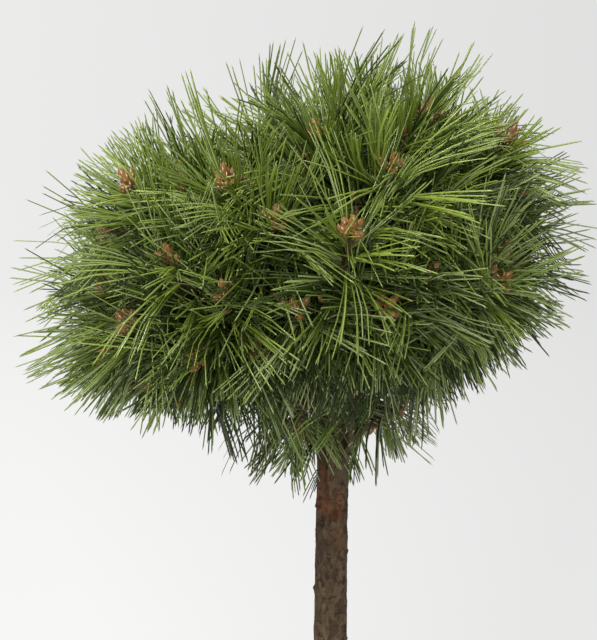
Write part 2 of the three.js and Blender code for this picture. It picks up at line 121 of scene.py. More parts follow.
# A needle's rings by the share of its length, its widths there, and the ranges of what is drawn for it.
NEEDLE_RINGS = (0.0, 0.09, 0.36, 0.66, 0.965, 1.0)
NEEDLE_WIDTHS = (1.1, 1.0, 1.0, 0.98, 0.8, 0.0)
KEPT_PAIRS = 0.9
LOWEST_ROOT = 0.02
PAIR_OPENING = (1.0, 5.0)
STUNTED = 0.12
STUNTED_LENGTH = (0.72, 0.9)
SHOOT_LENGTH = (0.88, 1.06)
SIDE_LENGTH = 0.85
SHOOT_REACH = (0.89, 1.06)
LOCK_REACH = (0.91, 1.0)
NEEDLE_REACH = (0.95, 1.0)
SKIRT_RAGGEDNESS = 0.6
LIMB_ROOM = 0.001
PALE_TIPS = 0.2

# How far locks, pairs and single needles stray from the rule, as spreads of what is drawn for them.
STRAY = {
    "lock_turn": 0.2,
    "lock_angle": 0.1,
    "lock_forward": 0.1,
    "lock_sag": 0.1,
    "pair_angle": 0.08,
    "pair_bend": 0.1,
    "length": 0.12,
    "opening": 0.12,
    "width": 0.12,
}
# How dark a needle's green is, with light and shade painted in: higher levels are deeper, and lowness, side shoots
# and a place near a shoot's foot add painted shade. Two numbers are a least share and what low adds, of the grey
# green, which is partly a pale bloom and partly a painted sheen.
GREENS = {
    "level": 0.25,
    "low": 1.8,
    "skirt_low": 0.7,
    "side_shoot": 0.8,
    "inner": 0.9,
    "shoot_stray": 0.25,
    "lock_stray": 0.5,
    "needle_stray": 0.35,
    "grey_needles": (0.1, 0.6),
    "grey_locks": (0.3, 0.4),
}
# What is drawn for a cluster of buds: sizes by the middle bud's, shares of resin, leans and drops.
BUD_DRAWS = {
    "size": (0.85, 1.15),
    "resin": (0.1, 0.6),
    "lean": (0.7, 1.4),
    "ring_size": (0.65, 0.95),
    "ring_width": (0.75, 0.95),
    "ring_drop": (0.001, 0.004),
}
# The compost's lumps: waves for each metre, and their share.
LUMP_WAVES = ((70, 1.0), (190, 0.6), (420, 0.4))

# Material numbers of the needles and of the buds.
# The first needle green is painted light, the third painted shade, and the fourth partly a pale bloom and partly a
# painted sheen.
SUNLIT, LEAF, SHADED, BLOOM_AND_SHEEN, TIP, SHEATH = range(6)
BODY, SCALE, RESIN = range(3)

# The stage's lamps: name, place, width, power and colour.
LAMPS = (
    ("key", (-1.3, -1.5, 2.7), 0.85, 68, (1.0, 0.985, 0.955)),
    ("fill", (0.6, -2.4, 0.9), 1.6, 21, (0.985, 0.99, 0.985)),
    ("top", (0.2, 0.1, 2.6), 1.2, 10, (1.0, 1.0, 1.0)),
)


# Sizes and colours

def length_property(name, description, default):
    return FloatProperty(name=name, description=description, default=default, min=0.0, unit="LENGTH")


def number_property(name, description, default):
    return FloatProperty(name=name, description=description, default=default)


def angle_property(name, description, degrees):
    return FloatProperty(name=name, description=description, default=math.radians(degrees), subtype="ANGLE")


def count_property(name, description, default, least, most=100000):
    return IntProperty(name=name, description=description, default=default, min=least, max=most)


def colour_property(name, description, default):
    return FloatVectorProperty(
        name=name, description=description, default=default, size=3, min=0.0, max=1.0, subtype="COLOR"
    )


class PinePot(bpy.types.PropertyGroup):
    height: length_property("Height", "Height of the pot", 0.27)
    foot_radius: length_property("Foot radius", "Outer radius of the pot's flat foot", 0.098)
    body_radius: length_property("Body radius", "Outer radius of the wall just under the rim", 0.134)
    rim_radius: length_property("Rim radius", "Outer radius of the rim at its top", 0.15)
    rim_height: length_property("Rim height", "Height of the thick band at the top", 0.046)
    rim_proud: length_property("Rim stand", "How far the rim stands out of the wall", 0.008)
    lip: length_property("Lip", "Size of the pot's rounded edges", 0.004)
    wall: length_property("Wall", "Thickness of the clay wall", 0.01)
    floor: length_property("Floor", "Thickness of the clay floor", 0.014)
    drain_radius: length_property("Drain radius", "Radius of a drain hole", 0.007)
    drain_circle: length_property("Drain circle", "Distance of the drain holes from the middle", 0.05)
    drains: count_property("Drains", "Number of drain holes", 3, 0, 8)
    unevenness: length_property("Unevenness", "How far the clay wall strays from true", 0.0005)
    clay: colour_property("Clay", "Fired clay", (0.43, 0.168, 0.078))
    pale_clay: colour_property("Pale clay", "Dry, lighter patches of the clay", (0.56, 0.27, 0.15))
    lime: colour_property("Lime", "White bloom of salts on the clay", (0.66, 0.55, 0.45))


class PineCompost(bpy.types.PropertyGroup):
    below_rim: length_property("Below rim", "How far the compost lies under the rim", 0.024)
    crown: length_property("Crown", "How far the compost rises from its edge to the stem", 0.005)
    shoulder: length_property("Shoulder", "How far the compost still rises on its inner part", 0.001)
    shoulder_share: number_property("Shoulder share", "Where the rise flattens", 0.72)
    lumps: length_property("Lumps", "Height of the lumps in the surface", 0.0022)
    crumbs: count_property("Crumbs", "Number of loose crumbs and bark chips", 900, 0)
    dark: colour_property("Dark compost", "Damp compost", (0.018, 0.011, 0.007))
    brown: colour_property("Brown compost", "Drier compost", (0.062, 0.036, 0.02))
    chip: colour_property("Bark chip", "Chips of bark in the compost", (0.13, 0.062, 0.03))


class PineStem(bpy.types.PropertyGroup):
    foot_radius: length_property("Foot radius", "Radius of the stem above its flare", 0.0168)
    neck_radius: length_property("Neck radius", "Radius of the stem under the knuckle", 0.0143)
    top: length_property("Top", "Height of the stem's top above the floor", 0.836)
    top_radius: length_property("Top radius", "Radius of the stem's rounded top", 0.011)
    bough_radius: length_property("Bough radius", "Radius of a bough at the stem", 0.0066)
    bough_tip_radius: length_property("Bough tip radius", "Radius of a bough where its foliage begins", 0.0044)
    relief: length_property("Relief", "Depth of the furrows in the bark", 0.0013)
    knots: count_property("Knots", "Number of cut-back side shoots on the stem", 48, 0)
    grey: colour_property("Grey bark", "Weathered bark", (0.092, 0.063, 0.036))
    brown: colour_property("Brown bark", "Younger bark", (0.075, 0.043, 0.021))
    rust: colour_property("Rust bark", "Bark where a flake has come off", (0.19, 0.055, 0.018))
    dark: colour_property("Dark bark", "Furrows and scars", (0.022, 0.013, 0.008))


class PineCrown(bpy.types.PropertyGroup):
    middle: FloatVectorProperty(
        name="Middle", description="Middle of the crown's reach", default=(-0.027, 0.0, 0.908), size=3,
        subtype="XYZ_LENGTH",
    )
    across: length_property("Across", "The crown's reach to either side", 0.306)
    deep: length_property("Deep", "The crown's reach to the front and back", 0.272)
    up: length_property("Up", "The crown's reach above its middle", 0.24)
    down: length_property("Down", "The crown's reach below its middle", 0.118)
    low_power: number_property("Low power", "How square-edged the reach is below", 2.3)
    high_power: number_property("High power", "How square-edged the reach is above", 2.15)
    skirt_across: length_property("Skirt across", "The hanging skirt's reach to each side", 0.205)
    skirt_down: length_property("Skirt down", "The reach below the middle close to the stem", 0.206)
    tilt: number_property("Tilt", "Rise of the shell of shoot tips for each metre to its right", 0.16)
    right_tilt: number_property("Right tilt", "Share of the tilt in the reach on the right", 0.35)
    left_tilt: number_property("Left tilt", "Share of the tilt in the reach on the left", 0.75)
    right_lift: number_property("Right lift", "How fast the low right side rises", 1.2)
    lift_from: number_property("Lift from", "Share of the width where it starts to rise", 0.3)
    least_down: number_property("Least down", "Share of the depth left on the right", 0.45)
    lumpiness: number_property("Lumpiness", "How lumpy the crown's reach is", 0.15)
    lump_seed: count_property("Lump seed", "Number that sets where the lumps are", 48486, 0)
    shell_height: length_property("Shell height", "Height of the middle of the shell of shoot tips", 0.904)
    shell_across: length_property("Shell across", "The shell's reach to either side", 0.19)
    shell_deep: length_property("Shell deep", "The shell's reach to the front and back", 0.182)
    shell_up: length_property("Shell up", "The shell's reach above its middle", 0.142)
    shell_down: length_property("Shell down", "The shell's reach below its middle", 0.072)
    lowest_polar: angle_property("Lowest angle", "Angle from straight up at which the shell ends", 124)
    shoots: count_property("Shoots", "Number of shoots that end on the shell", 56, 1)
    shoulders: number_property("Shoulders", "How much fuller the dome's shoulders are", 0.16)
    side_fill: number_property("Side fill", "How much fuller the dome's two sides are", 0.08)
    jitter: length_property("Jitter", "How far a shoot's tip strays", 0.011)
    seed_share: number_property("Seed share", "Place of a mass's seed inside the shell", 0.8)


class PineTwigs(bpy.types.PropertyGroup):
    stem_radius: length_property("Stem radius", "Radius of a mass's own stem where it starts", 0.0042)
    stem_tip_radius: length_property("Stem tip radius", "Radius of a mass's own stem at its end", 0.0034)
    radius: length_property("Radius", "Radius of a shoot where it starts", 0.003)
    tip_radius: length_property("Tip radius", "Radius of a shoot under its buds", 0.0022)
    shyness: length_property("Shyness", "How far short of the shell a shoot may end", 0.05)
    skirt_short: length_property("Skirt short", "How much shorter the skirt's shoots are", 0.012)
    skirt_lift: length_property("Skirt lift", "How much higher the skirt's shoots end", 0.022)
    rising: number_property("Rising", "How far a shoot's end turns upwards", 0.8)
    side_shoots: count_property("Side shoots", "Side shoots on each shoot", 2, 0, 4)
    side_share: number_property("Side share", "Length of a side shoot by its parent's", 0.42)
    side_angle: angle_property("Side angle", "Angle at which a side shoot leaves", 46)
    bark: colour_property("Twig bark", "Bark of the twigs", (0.065, 0.038, 0.02))
    scale_bark: colour_property("Twig scales", "Scales at the needles' feet", (0.12, 0.075, 0.04))


class PineNeedles(bpy.types.PropertyGroup):
    length: length_property("Length", "Length of a needle", 0.109)
    length_spread: number_property("Length spread", "Spread of lengths, by length", 0.34)
    radius: length_property("Radius", "Radius of a needle", 0.00082)
    locks: count_property("Locks", "Locks of needles on a shoot", 24, 3)
    side_locks: count_property("Side locks", "Locks of needles on a side shoot", 9, 3)
    lock_pairs: count_property("Lock pairs", "Pairs of needles in a lock", 5, 1)
    lock_width: number_property("Lock width", "Spread of a lock round the shoot", 0.2)
    bend: number_property("Bend", "How far a lock bends its own way", 0.36)
    closing_in: number_property("Closing in", "How far needles bend to their shoot", 0.2)
    bearing: length_property("Bearing", "Length of a shoot that bears needles", 0.086)
    bearing_share: number_property("Bearing share", "Most of a shoot that bears needles", 0.8)
    widest: angle_property("Widest angle", "Angle of the needles furthest from the tip", 92)
    narrowest: angle_property("Narrowest angle", "Angle of the needles at the tip", 54)
    closing: number_property("Closing", "How late the angle closes towards the tip", 1.4)
    upright_closing: number_property("Upright closing", "How much narrower the fans at the top are", 0.5)
    droop: number_property("Droop", "How far every needle leans down", 0.1)
    low_droop: number_property("Low droop", "How much more the low needles lean down", 1.35)
    sag: number_property("Sag", "How far a level needle bends down", 0.45)
    low_sag: number_property("Low sag", "How much more the low needles bend down", 1.7)
    low_thinning: number_property("Low thinning", "How much sparser the lowest shoots are", 1.0)
    skirt_share: number_property("Skirt share", "Share of the locks on a skirt's shoot", 0.56)
    raggedness: number_property("Raggedness", "How ragged the lower edge is", 0.6)
    bare_tip: length_property("Bare tip", "Length under the buds that bears no needles", 0.014)
    shortest: number_property("Shortest", "Least share of a needle that may be kept", 0.45)
    # Painted light: the needles at the top of the crown get this lit copy of the leaf green.
    sunlit: colour_property("Fresh green", "Needles in full light", (0.215, 0.295, 0.038))
    leaf: colour_property("Leaf green", "Most needles", (0.145, 0.21, 0.028))
    # Painted shade: the needles inside the crown and low down get this shaded copy of the leaf green.
    deep: colour_property("Deep green", "Needles inside the crown", (0.03, 0.05, 0.006))
    # Partly a pale bloom of the needles and partly a painted sheen of the light from below, on the low needles.
    grey: colour_property("Grey green", "Low and shaded needles", (0.215, 0.27, 0.088))
    straw: colour_property("Straw", "Pale needle tips", (0.32, 0.33, 0.14))
    sheath: colour_property("Sheath", "Papery sheath at the foot of a pair", (0.30, 0.19, 0.09))


class PineBuds(bpy.types.PropertyGroup):
    length: length_property("Length", "Length of a shoot's middle bud", 0.02)
    radius: length_property("Radius", "Radius of a shoot's middle bud", 0.0043)
    ring: count_property("Ring", "Most buds round the middle one", 6, 2, 9)
    brown: colour_property("Bud brown", "Body of a bud", (0.21, 0.1, 0.024))
    orange: colour_property("Bud orange", "Scales of a bud", (0.35, 0.175, 0.036))
    resin: colour_property("Resin", "White resin on the scales", (0.56, 0.45, 0.30))


class PineStage(bpy.types.PropertyGroup):
    floor: colour_property("Floor", "Studio floor", (0.6, 0.6, 0.605))
    backdrop: colour_property("Backdrop", "Light from behind the plant", (0.79, 0.79, 0.785))
    near: length_property("Near", "Distance at which the floor begins to turn into the backdrop", 1.1)
    far: length_property("Far", "Distance at which the floor has turned into the backdrop", 2.2)
    horizon: length_property("Horizon", "Distance at which the floor is as dark as the backdrop", 10.0)
    floor_gain: number_property("Floor gain", "How much brighter the near floor is", 1.1)
    fall: number_property("Fall", "How much darker the backdrop's right side is", 0.07)
    walls: colour_property("Walls", "Light from the sides", (0.2, 0.2, 0.2))
    overhead: colour_property("Overhead", "Light from straight above", (1.0, 1.0, 1.0))
    overhead_strength: number_property("Overhead strength", "Strength of that light", 0.9)
    distance: length_property("Distance", "Distance of the camera from the stem", 1.75)
    view_height: length_property("View height", "Height of the middle of the picture at the stem", 0.8775)
    view_aside: number_property("View aside", "Place of the picture's middle to the right of the stem", -0.032)
    picture_height: length_property("Picture height", "Height that the picture shows at the stem", 0.576)
    elevation: angle_property("Elevation", "Angle of the camera above the horizon", 6)


SETTINGS = {
    "pine_pot": PinePot,
    "pine_compost": PineCompost,
    "pine_stem": PineStem,
    "pine_crown": PineCrown,
    "pine_twigs": PineTwigs,
    "pine_needles": PineNeedles,
    "pine_buds": PineBuds,
    "pine_stage": PineStage,
}


# Numbers and curves

def number_stream(seed):
    """The part's own small seeded generator of numbers from 0 to 1."""
    state = seed & 0xFFFFFFFF

    def draw():
        nonlocal state
        state = (state + 0x6D2B79F5) & 0xFFFFFFFF
        mixed = ((state ^ (state >> 15)) * (state | 1)) & 0xFFFFFFFF
        mixed ^= (mixed + ((mixed ^ (mixed >> 7)) * (mixed | 61))) & 0xFFFFFFFF
        return ((mixed ^ (mixed >> 14)) & 0xFFFFFFFF) / 4294967296

    return draw


def unit(rows):
    rows = np.asarray(rows, float)
    return rows / np.linalg.norm(rows, axis=-1, keepdims=True)


class Path:
    """A curve held as close points and read by the share of the way along it."""

    def __init__(self, points):
        self.points = np.asarray(points, float)
        steps = np.linalg.norm(np.diff(self.points, axis=0), axis=1)
        self.along = np.concatenate(([0.0], np.cumsum(steps)))
        self.length = float(self.along[-1])

    def at(self, shares):
        distance = np.atleast_1d(np.asarray(shares, float)) * self.length
        return np.stack([np.interp(distance, self.along, self.points[:, axis]) for axis in range(3)], axis=-1)

    def spot(self, share):
        return self.at(share)[0]

    def heading(self, shares):
        shares = np.atleast_1d(np.asarray(shares, float))
        return unit(self.at(np.minimum(shares + 0.01, 1)) - self.at(np.maximum(shares - 0.01, 0)))


def bent_line(start, middle, end, count=40):
    share = np.linspace(0, 1, count)[:, None]
    start, middle, end = (np.asarray(point, float) for point in (start, middle, end))
    return Path((1 - share) ** 2 * start + 2 * share * (1 - share) * middle + share ** 2 * end)


def smooth_line(knots, count=201):
    """A centripetal curve through a few points, as the part's stem is drawn."""
    knots = [np.asarray(knot, float) for knot in knots]
    ghosts = [2 * knots[0] - knots[1], *knots, 2 * knots[-1] - knots[-2]]
    points = []
    for share in np.linspace(0, 1, count):
        place = share * (len(knots) - 1)
        index = min(int(place), len(knots) - 2)
        weight = place - index
        p0, p1, p2, p3 = ghosts[index:index + 4]
        d0, d1, d2 = (math.sqrt(np.linalg.norm(b - a)) for a, b in ((p0, p1), (p1, p2), (p2, p3)))
        t1 = ((p1 - p0) / d0 - (p2 - p0) / (d0 + d1) + (p2 - p1) / d1) * d1
        t2 = ((p2 - p1) / d1 - (p3 - p1) / (d1 + d2) + (p3 - p2) / d2) * d1
        cubic = 2 * p1 - 2 * p2 + t1 + t2
        square = -3 * p1 + 3 * p2 - 2 * t1 - t2
        points.append(p1 + t1 * weight + square * weight ** 2 + cubic * weight ** 3)
    return Path(points)


def side_vectors(headings):
    """Two unit vectors across each heading."""
    upright = np.abs(headings[:, 2:3]) > NEARLY_UPRIGHT
    nearly = np.where(upright, np.array([[1.0, 0.0, 0.0]]), np.array([[0.0, 0.0, 1.0]]))
    side = unit(nearly - headings * np.sum(nearly * headings, axis=1, keepdims=True))
    return side, np.cross(headings, side)


# The layout of the plant, as in the part's source

class Plant:
    """The stem's line, the masses of foliage with their boughs, and the shoots on them."""

    def __init__(self, scene):
        self.pot = scene.pine_pot
        self.compost = scene.pine_compost
        self.stem_size = scene.pine_stem
        self.crown = scene.pine_crown
        self.twigs = scene.pine_twigs
        self.shell_middle = np.array([self.crown.middle[0], self.crown.middle[1], self.crown.shell_height])
        self.foot = self.pot.height - self.compost.below_rim + JOINT_GAP
        self.start = self.foot - STEM_SHAPE["below_foot"]
        self.height = self.stem_size.top - self.start
        lean, sway = STEM_SHAPE["lean"], STEM_SHAPE["sway"]
        self.stem = smooth_line([
            (-lean, 0, self.start),
            (-lean * 0.7 + sway * 0.5, sway, self.start + self.height * 0.3),
            (-lean * 0.3, -sway * 0.6, self.start + self.height * 0.62),
            (0, 0, self.stem_size.top),
        ])
        self.masses = self.lay_out_masses()
        self.deal_out_tips()
        for mass in self.masses:
            mass["line"] = self.limb_line(mass)
            mass["entry"] = self.entry_share(mass)
        self.shoots = []
        for order, mass in enumerate(self.masses):
            mass["shoots"] = self.grow_shoots(mass, order)
            self.shoots += mass["shoots"]

    def stem_share(self, height):
        return min(max((height - self.start) / self.height, 0), 1)

    def stem_radius(self, height):
        size, shape = self.stem_size, STEM_SHAPE
        share = (height - self.start) / self.height
        taper = size.foot_radius + (size.neck_radius - size.foot_radius) * min(1, share / shape["neck_share"])
        flare = shape["flare"] * math.exp(-max(0, height - self.foot) / shape["flare_height"])
        away = (height - shape["knuckle_height"]) / shape["knuckle_spread"]
        knuckle = shape["knuckle"] * math.exp(-away * away)
        shoulder = max(0, 1 - (size.top - height) / shape["shoulder"])
        return taper + flare + knuckle - (size.neck_radius + knuckle - size.top_radius) * shoulder

    def on_shell(self, polar, turn, share=1.0):
        crown = self.crown
        high = crown.shell_up if math.cos(polar) > 0 else crown.shell_down
        x = math.sin(polar) * math.cos(turn) * crown.shell_across
        y = math.sin(polar) * math.sin(turn) * crown.shell_deep
        return np.array([x, y, math.cos(polar) * high + crown.tilt * x]) * share + self.shell_middle

    def around_stem(self, turn, radius, height):
        middle = self.stem.spot(self.stem_share(height))
        return np.array([middle[0] + math.cos(turn) * radius, middle[1] + math.sin(turn) * radius, height])

    def rise(self, point):
        """How far a point lies above the level of the shell's middle, which slopes by the tilt."""
        return point[2] - (self.shell_middle[2] + self.crown.tilt * (point[0] - self.shell_middle[0]))

    def lowness(self, point):
        """How low on the shell a point is, from 0 at the level of its middle to 1."""
        return min(max(-self.rise(point) / self.crown.shell_down, 0), 1)

    def highness(self, point):
        """How high on the shell a point is, from 0 at the level of its middle to 1."""
        return min(max(self.rise(point) / self.crown.shell_up, 0), 1)

    def squared(self, tip):
        """A tip moved outwards on the dome's shoulders and its two sides, to make it fuller there."""
        across = tip - self.shell_middle
        high = self.highness(tip)
        fuller = self.crown.shoulders * (4 * high ** 2 * (1 - high ** 2) + 0.6 * high ** 6)
        fuller += self.crown.side_fill * abs(across[0]) / self.crown.shell_across
        return self.shell_middle + across * (1 + fuller)

    def lay_out_masses(self):
        masses = []
        for ring in RINGS:
            for i in range(ring["count"]):
                turn = math.radians(ring["turn"]) + i * 2 * math.pi / ring["count"]
                polar = math.radians(ring["polar"])
                masses.append({
                    "name": f"{ring['name']}_{i + 1}" if ring["count"] > 1 else ring["name"],
                    "seed": self.on_shell(polar, turn, self.crown.seed_share),
                    "hub": self.on_shell(polar, turn, ring["hub_share"]),
                    "stem_height": ring["stem_height"] + (i % 2) * ring["stagger"],
                    "bough": True,
                    "tips": [],
                })
        for i in range(SKIRT["count"]):
            turn = math.radians(SKIRT["turn"]) + i * 2 * math.pi / SKIRT["count"]
            tips = []
            for j in range(SKIRT["shoots"]):
                aside = math.radians(SKIRT["tip_spread"]) * (j - (SKIRT["shoots"] - 1) / 2)
                tips.append(self.around_stem(turn + aside, SKIRT["tip_radius"], SKIRT["tip_height"]))
            masses.append({
                "name": f"{SKIRT['name']}_{i + 1}",
                "seed": self.around_stem(turn, SKIRT["seed_radius"], SKIRT["seed_height"]),
                "hub": self.around_stem(turn, SKIRT["hub_radius"], SKIRT["hub_height"]),
                "stem_height": SKIRT["stem_height"],
                "bough": False,
                "tips": tips,
            })
        return masses

    def deal_out_tips(self):
        """Spreads the shoots' tips over the shell on a spiral, and gives each to the nearest mass."""
        draw = number_stream(LAYOUT_SEED)
        crown = self.crown
        lowest = math.cos(crown.lowest_polar)
        for i in range(crown.shoots):
            cosine = 1 - (i + 0.5) / crown.shoots * (1 - lowest)
            tip = self.on_shell(math.acos(cosine), i * GOLDEN_ANGLE)
            tip = tip + np.array([(draw() - 0.5) * 2 * crown.jitter for _ in range(3)])
            nearest = min(self.masses, key=lambda mass: np.linalg.norm(tip - mass["seed"]))
            nearest["tips"].append(tip)

    def depth_in_cell(self, mass, point):
        """How deep a point lies in a mass's own cell, from the nearest flat side that it shares."""
        depths = []
        for other in self.masses:
            if other is not mass:
                nearer = np.sum((point - other["seed"]) ** 2) - np.sum((point - mass["seed"]) ** 2)
                depths.append(nearer / (2 * np.linalg.norm(other["seed"] - mass["seed"])))
        return min(depths)

    def limb_line(self, mass):
        """The line from the stem's axis to a mass's hub, which first runs outwards and then turns up."""
        start = self.stem.spot(self.stem_share(mass["stem_height"]))
        if mass["stem_height"] >= self.stem_size.top:
            start = start + np.array([0, 0, JOINT_GAP])
        reach = np.linalg.norm(mass["hub"] - start)
        out = unit(mass["hub"] - start)
        out[2] = out[2] * BOUGH_SHAPE["levelling"] if mass["bough"] else out[2] - SKIRT["dip"]
        return bent_line(start, start + unit(out) * reach * BOUGH_SHAPE["elbow"], mass["hub"], 201)

    def entry_share(self, mass):
        """Where a bough ends and its mass begins, as a share of the line to the hub."""
        if not mass["bough"]:
            return 0.0
        shape = BOUGH_SHAPE
        room = self.stem_size.bough_tip_radius + shape["cell_room"]
        share = shape["least_share"]
        while share < shape["most_share"]:
            if self.depth_in_cell(mass, mass["line"].spot(share)) >= room:
                return share
            share += shape["share_step"]
        return shape["most_share"]

    def grow_shoots(self, mass, order):
        """The source's shoots of one mass, each with finer side shoots that end inside the shell."""
        rng = np.random.default_rng(LAYOUT_SEED + SEED_STEP * (order + 1))
        shoots = []
        last = max(1, len(mass["tips"]) - 1)
        for index, tip in enumerate(self.squared(tip) for tip in mass["tips"]):
            branch = BOUGH_SHAPE["branch_from"] + (1 - BOUGH_SHAPE["branch_from"]) * index / last
            share = min(1, mass["entry"] + (1 - mass["entry"]) * branch)
            start = mass["line"].spot(share)
            short = self.twigs.shyness * rng.random() ** SHOOT_SHAPE["shyness_power"]
            if not mass["bough"]:
                short += self.twigs.skirt_short
                tip = tip + np.array([0, 0, self.twigs.skirt_lift])
            main = {
                "line": self.rising_line(start, tip, self.twigs.rising, short),
                "mass": mass, "main": True, "tip": tip, "phase": rng.random() * 2 * math.pi,
            }
            shoots.append(main)
            for j in range(self.twigs.side_shoots if mass["bough"] else 0):
                shoots.append(self.side_shoot(main, j, rng))
        return shoots

    def rising_line(self, start, tip, rising, short):
        """A shoot that turns upwards at its end, and stops short of its tip by that distance."""
        shape, reach = SHOOT_SHAPE, np.linalg.norm(tip - start)
        upwards = rising * (1 - shape["low_levelling"] * self.lowness(tip))
        ending = unit(unit(tip - start) + np.array([0, 0, upwards]))
        return bent_line(start, tip - ending * reach * shape["elbow"], tip - ending * short)

    def side_shoot(self, parent, index, rng):
        """A finer shoot that leaves its parent part-way along and turns the same way and upwards."""
        shape = SHOOT_SHAPE
        share = shape["side_from"] + shape["side_step"] * index + shape["side_step_stray"] * (rng.random() - 0.5)
        start = parent["line"].spot(share)
        heading = parent["line"].heading(share)
        side, other = side_vectors(heading)
        around = parent["phase"] + index * math.pi + (rng.random() - 0.5) * shape["side_turn_stray"]
        angle = self.twigs.side_angle * (1 + shape["side_stray"] * (rng.random() - 0.5))
        outward = (side * math.cos(around) + other * math.sin(around))[0]
        leaving = heading[0] * math.cos(angle) + outward * math.sin(angle)
        reach = parent["line"].length * self.twigs.side_share * (1 + shape["side_stray"] * (rng.random() - 0.5))
        upwards = np.array([0, 0, self.twigs.rising * shape["side_rising"]])
        turned = unit(leaving + heading[0] * shape["side_straightening"] + upwards)
        middle = start + leaving * reach * shape["side_elbow"]
        tip = middle + turned * reach * (1 - shape["side_elbow"])
        return {
            "line": bent_line(start, middle, tip), "mass": parent["mass"], "main": False, "tip": tip,
            "phase": rng.random() * 2 * math.pi,
        }


# Meshes and materials

def linked(scene, name, data):
    """A new object of the scene."""
    thing = bpy.data.objects.new(name, data)
    scene.collection.objects.link(thing)
    return thing


def new_piece(mesh, slot, *replaced):
    """The mesh as a piece of the same name, which rides the plant's one body."""
    piece = linked(bpy.context.scene, mesh.name, mesh)
    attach(piece, "root")
    if replaced:
        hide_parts(*replaced)
    return piece


def mesh_from_bmesh(bm, name, materials, smooth=True):
    mesh = bpy.data.meshes.new(name)
    bm.to_mesh(mesh)
    bm.free()
    for material in materials:
        mesh.materials.append(material)
    mesh.polygons.foreach_set("use_smooth", np.full(len(mesh.polygons), smooth))
    return mesh


def joined_mesh(name, points, faces, tints, materials, smooth=True):
    """One mesh from arrays: faces is a list of index arrays and tints one of material numbers to match."""
    mesh = bpy.data.meshes.new(name)
    loops = np.concatenate([part.ravel() for part in faces])
    totals = np.concatenate([np.full(len(part), part.shape[1]) for part in faces])
    starts = np.concatenate(([0], np.cumsum(totals)[:-1]))
    mesh.vertices.add(len(points))
    mesh.vertices.foreach_set("co", np.asarray(points, np.float32).ravel())
    mesh.loops.add(len(loops))
    mesh.loops.foreach_set("vertex_index", loops.astype(np.int32))
    mesh.polygons.add(len(totals))
    mesh.polygons.foreach_set("loop_start", starts.astype(np.int32))
    mesh.polygons.foreach_set("loop_total", totals.astype(np.int32))
    for material in materials:
        mesh.materials.append(material)
    mesh.polygons.foreach_set("material_index", np.concatenate(tints).astype(np.int32))
    mesh.polygons.foreach_set("use_smooth", np.full(len(totals), smooth))
    mesh.update(calc_edges=True)
    mesh.validate()
    return mesh


def rods(lines, radii, headings, sides, pointed):
    """Points and faces of many thin rods. lines is rods by rings by 3, and radii is rods by rings."""
    count, rings, _ = lines.shape
    side, other = side_vectors(headings)
    turns = np.arange(sides) * 2 * math.pi / sides
    ring = side[:, None, :] * np.cos(turns)[None, :, None] + other[:, None, :] * np.sin(turns)[None, :, None]
    tube_rings = rings - 1 if pointed else rings
    body = lines[:, :tube_rings, None, :] + ring[:, None, :, :] * radii[:, :tube_rings, None, None]
    points = body.reshape(count, tube_rings * sides, 3)
    points = np.concatenate([points, lines[:, -1:, :]], axis=1) if pointed else points
    size = points.shape[1]
    base = (np.arange(count) * size)[:, None]
    quads = []
    for k in range(tube_rings - 1):
        for j in range(sides):
            a, b = k * sides + j, k * sides + (j + 1) % sides
            quads.append([a, b, b + sides, a + sides])
    caps = [list(range(sides))[::-1]]
    if not pointed:
        caps.append([(tube_rings - 1) * sides + j for j in range(sides)])
    quad_faces = (base[:, None, :] + np.array(quads)[None, :, :]).reshape(-1, 4)
    cap_faces = (base[:, None, :] + np.array(caps)[None, :, :]).reshape(-1, sides)
    faces = [quad_faces, cap_faces]
    if pointed:
        last = (tube_rings - 1) * sides
        tips = np.array([[last + j, last + (j + 1) % sides, size - 1] for j in range(sides)])
        faces.append((base[:, None, :] + tips[None, :, :]).reshape(-1, 3))
    return points.reshape(-1, 3), faces


class Gathered:
    """Small shapes gathered for one joined mesh: their points, arrays of faces and material numbers to match."""

    def __init__(self):
        self.points, self.faces, self.tints, self.count = [], [], [], 0

    def add(self, points, faces, tints):
        self.points.append(points)
        self.faces += [part + self.count for part in faces]
        self.tints += tints
        self.count += len(points)

    def mesh(self, name, materials, smooth=True):
        return joined_mesh(name, np.concatenate(self.points), self.faces, self.tints, materials, smooth)


def fill_in(tree, node, inputs):
    """Sets a node's inputs, each to a value or to another node's output."""
    for key, value in inputs.items():
        if isinstance(value, bpy.types.NodeSocket):
            tree.links.new(value, node.inputs[key])
        else:
            node.inputs[key].default_value = value
    return node


def add_node(tree, kind, inputs, **settings):
    node = tree.nodes.new(f"ShaderNode{kind}")
    for key, value in settings.items():
        setattr(node, key, value)
    return fill_in(tree, node, inputs)


def ranged(tree, source, ends, results, rise="LINEAR"):
    """A node's output carried from between two ends to between two results."""
    limits = dict(zip(("From Min", "From Max", "To Min", "To Max"), (*ends, *results)))
    return add_node(tree, "MapRange", {"Value": source, **limits}, interpolation_type=rise).outputs["Result"]


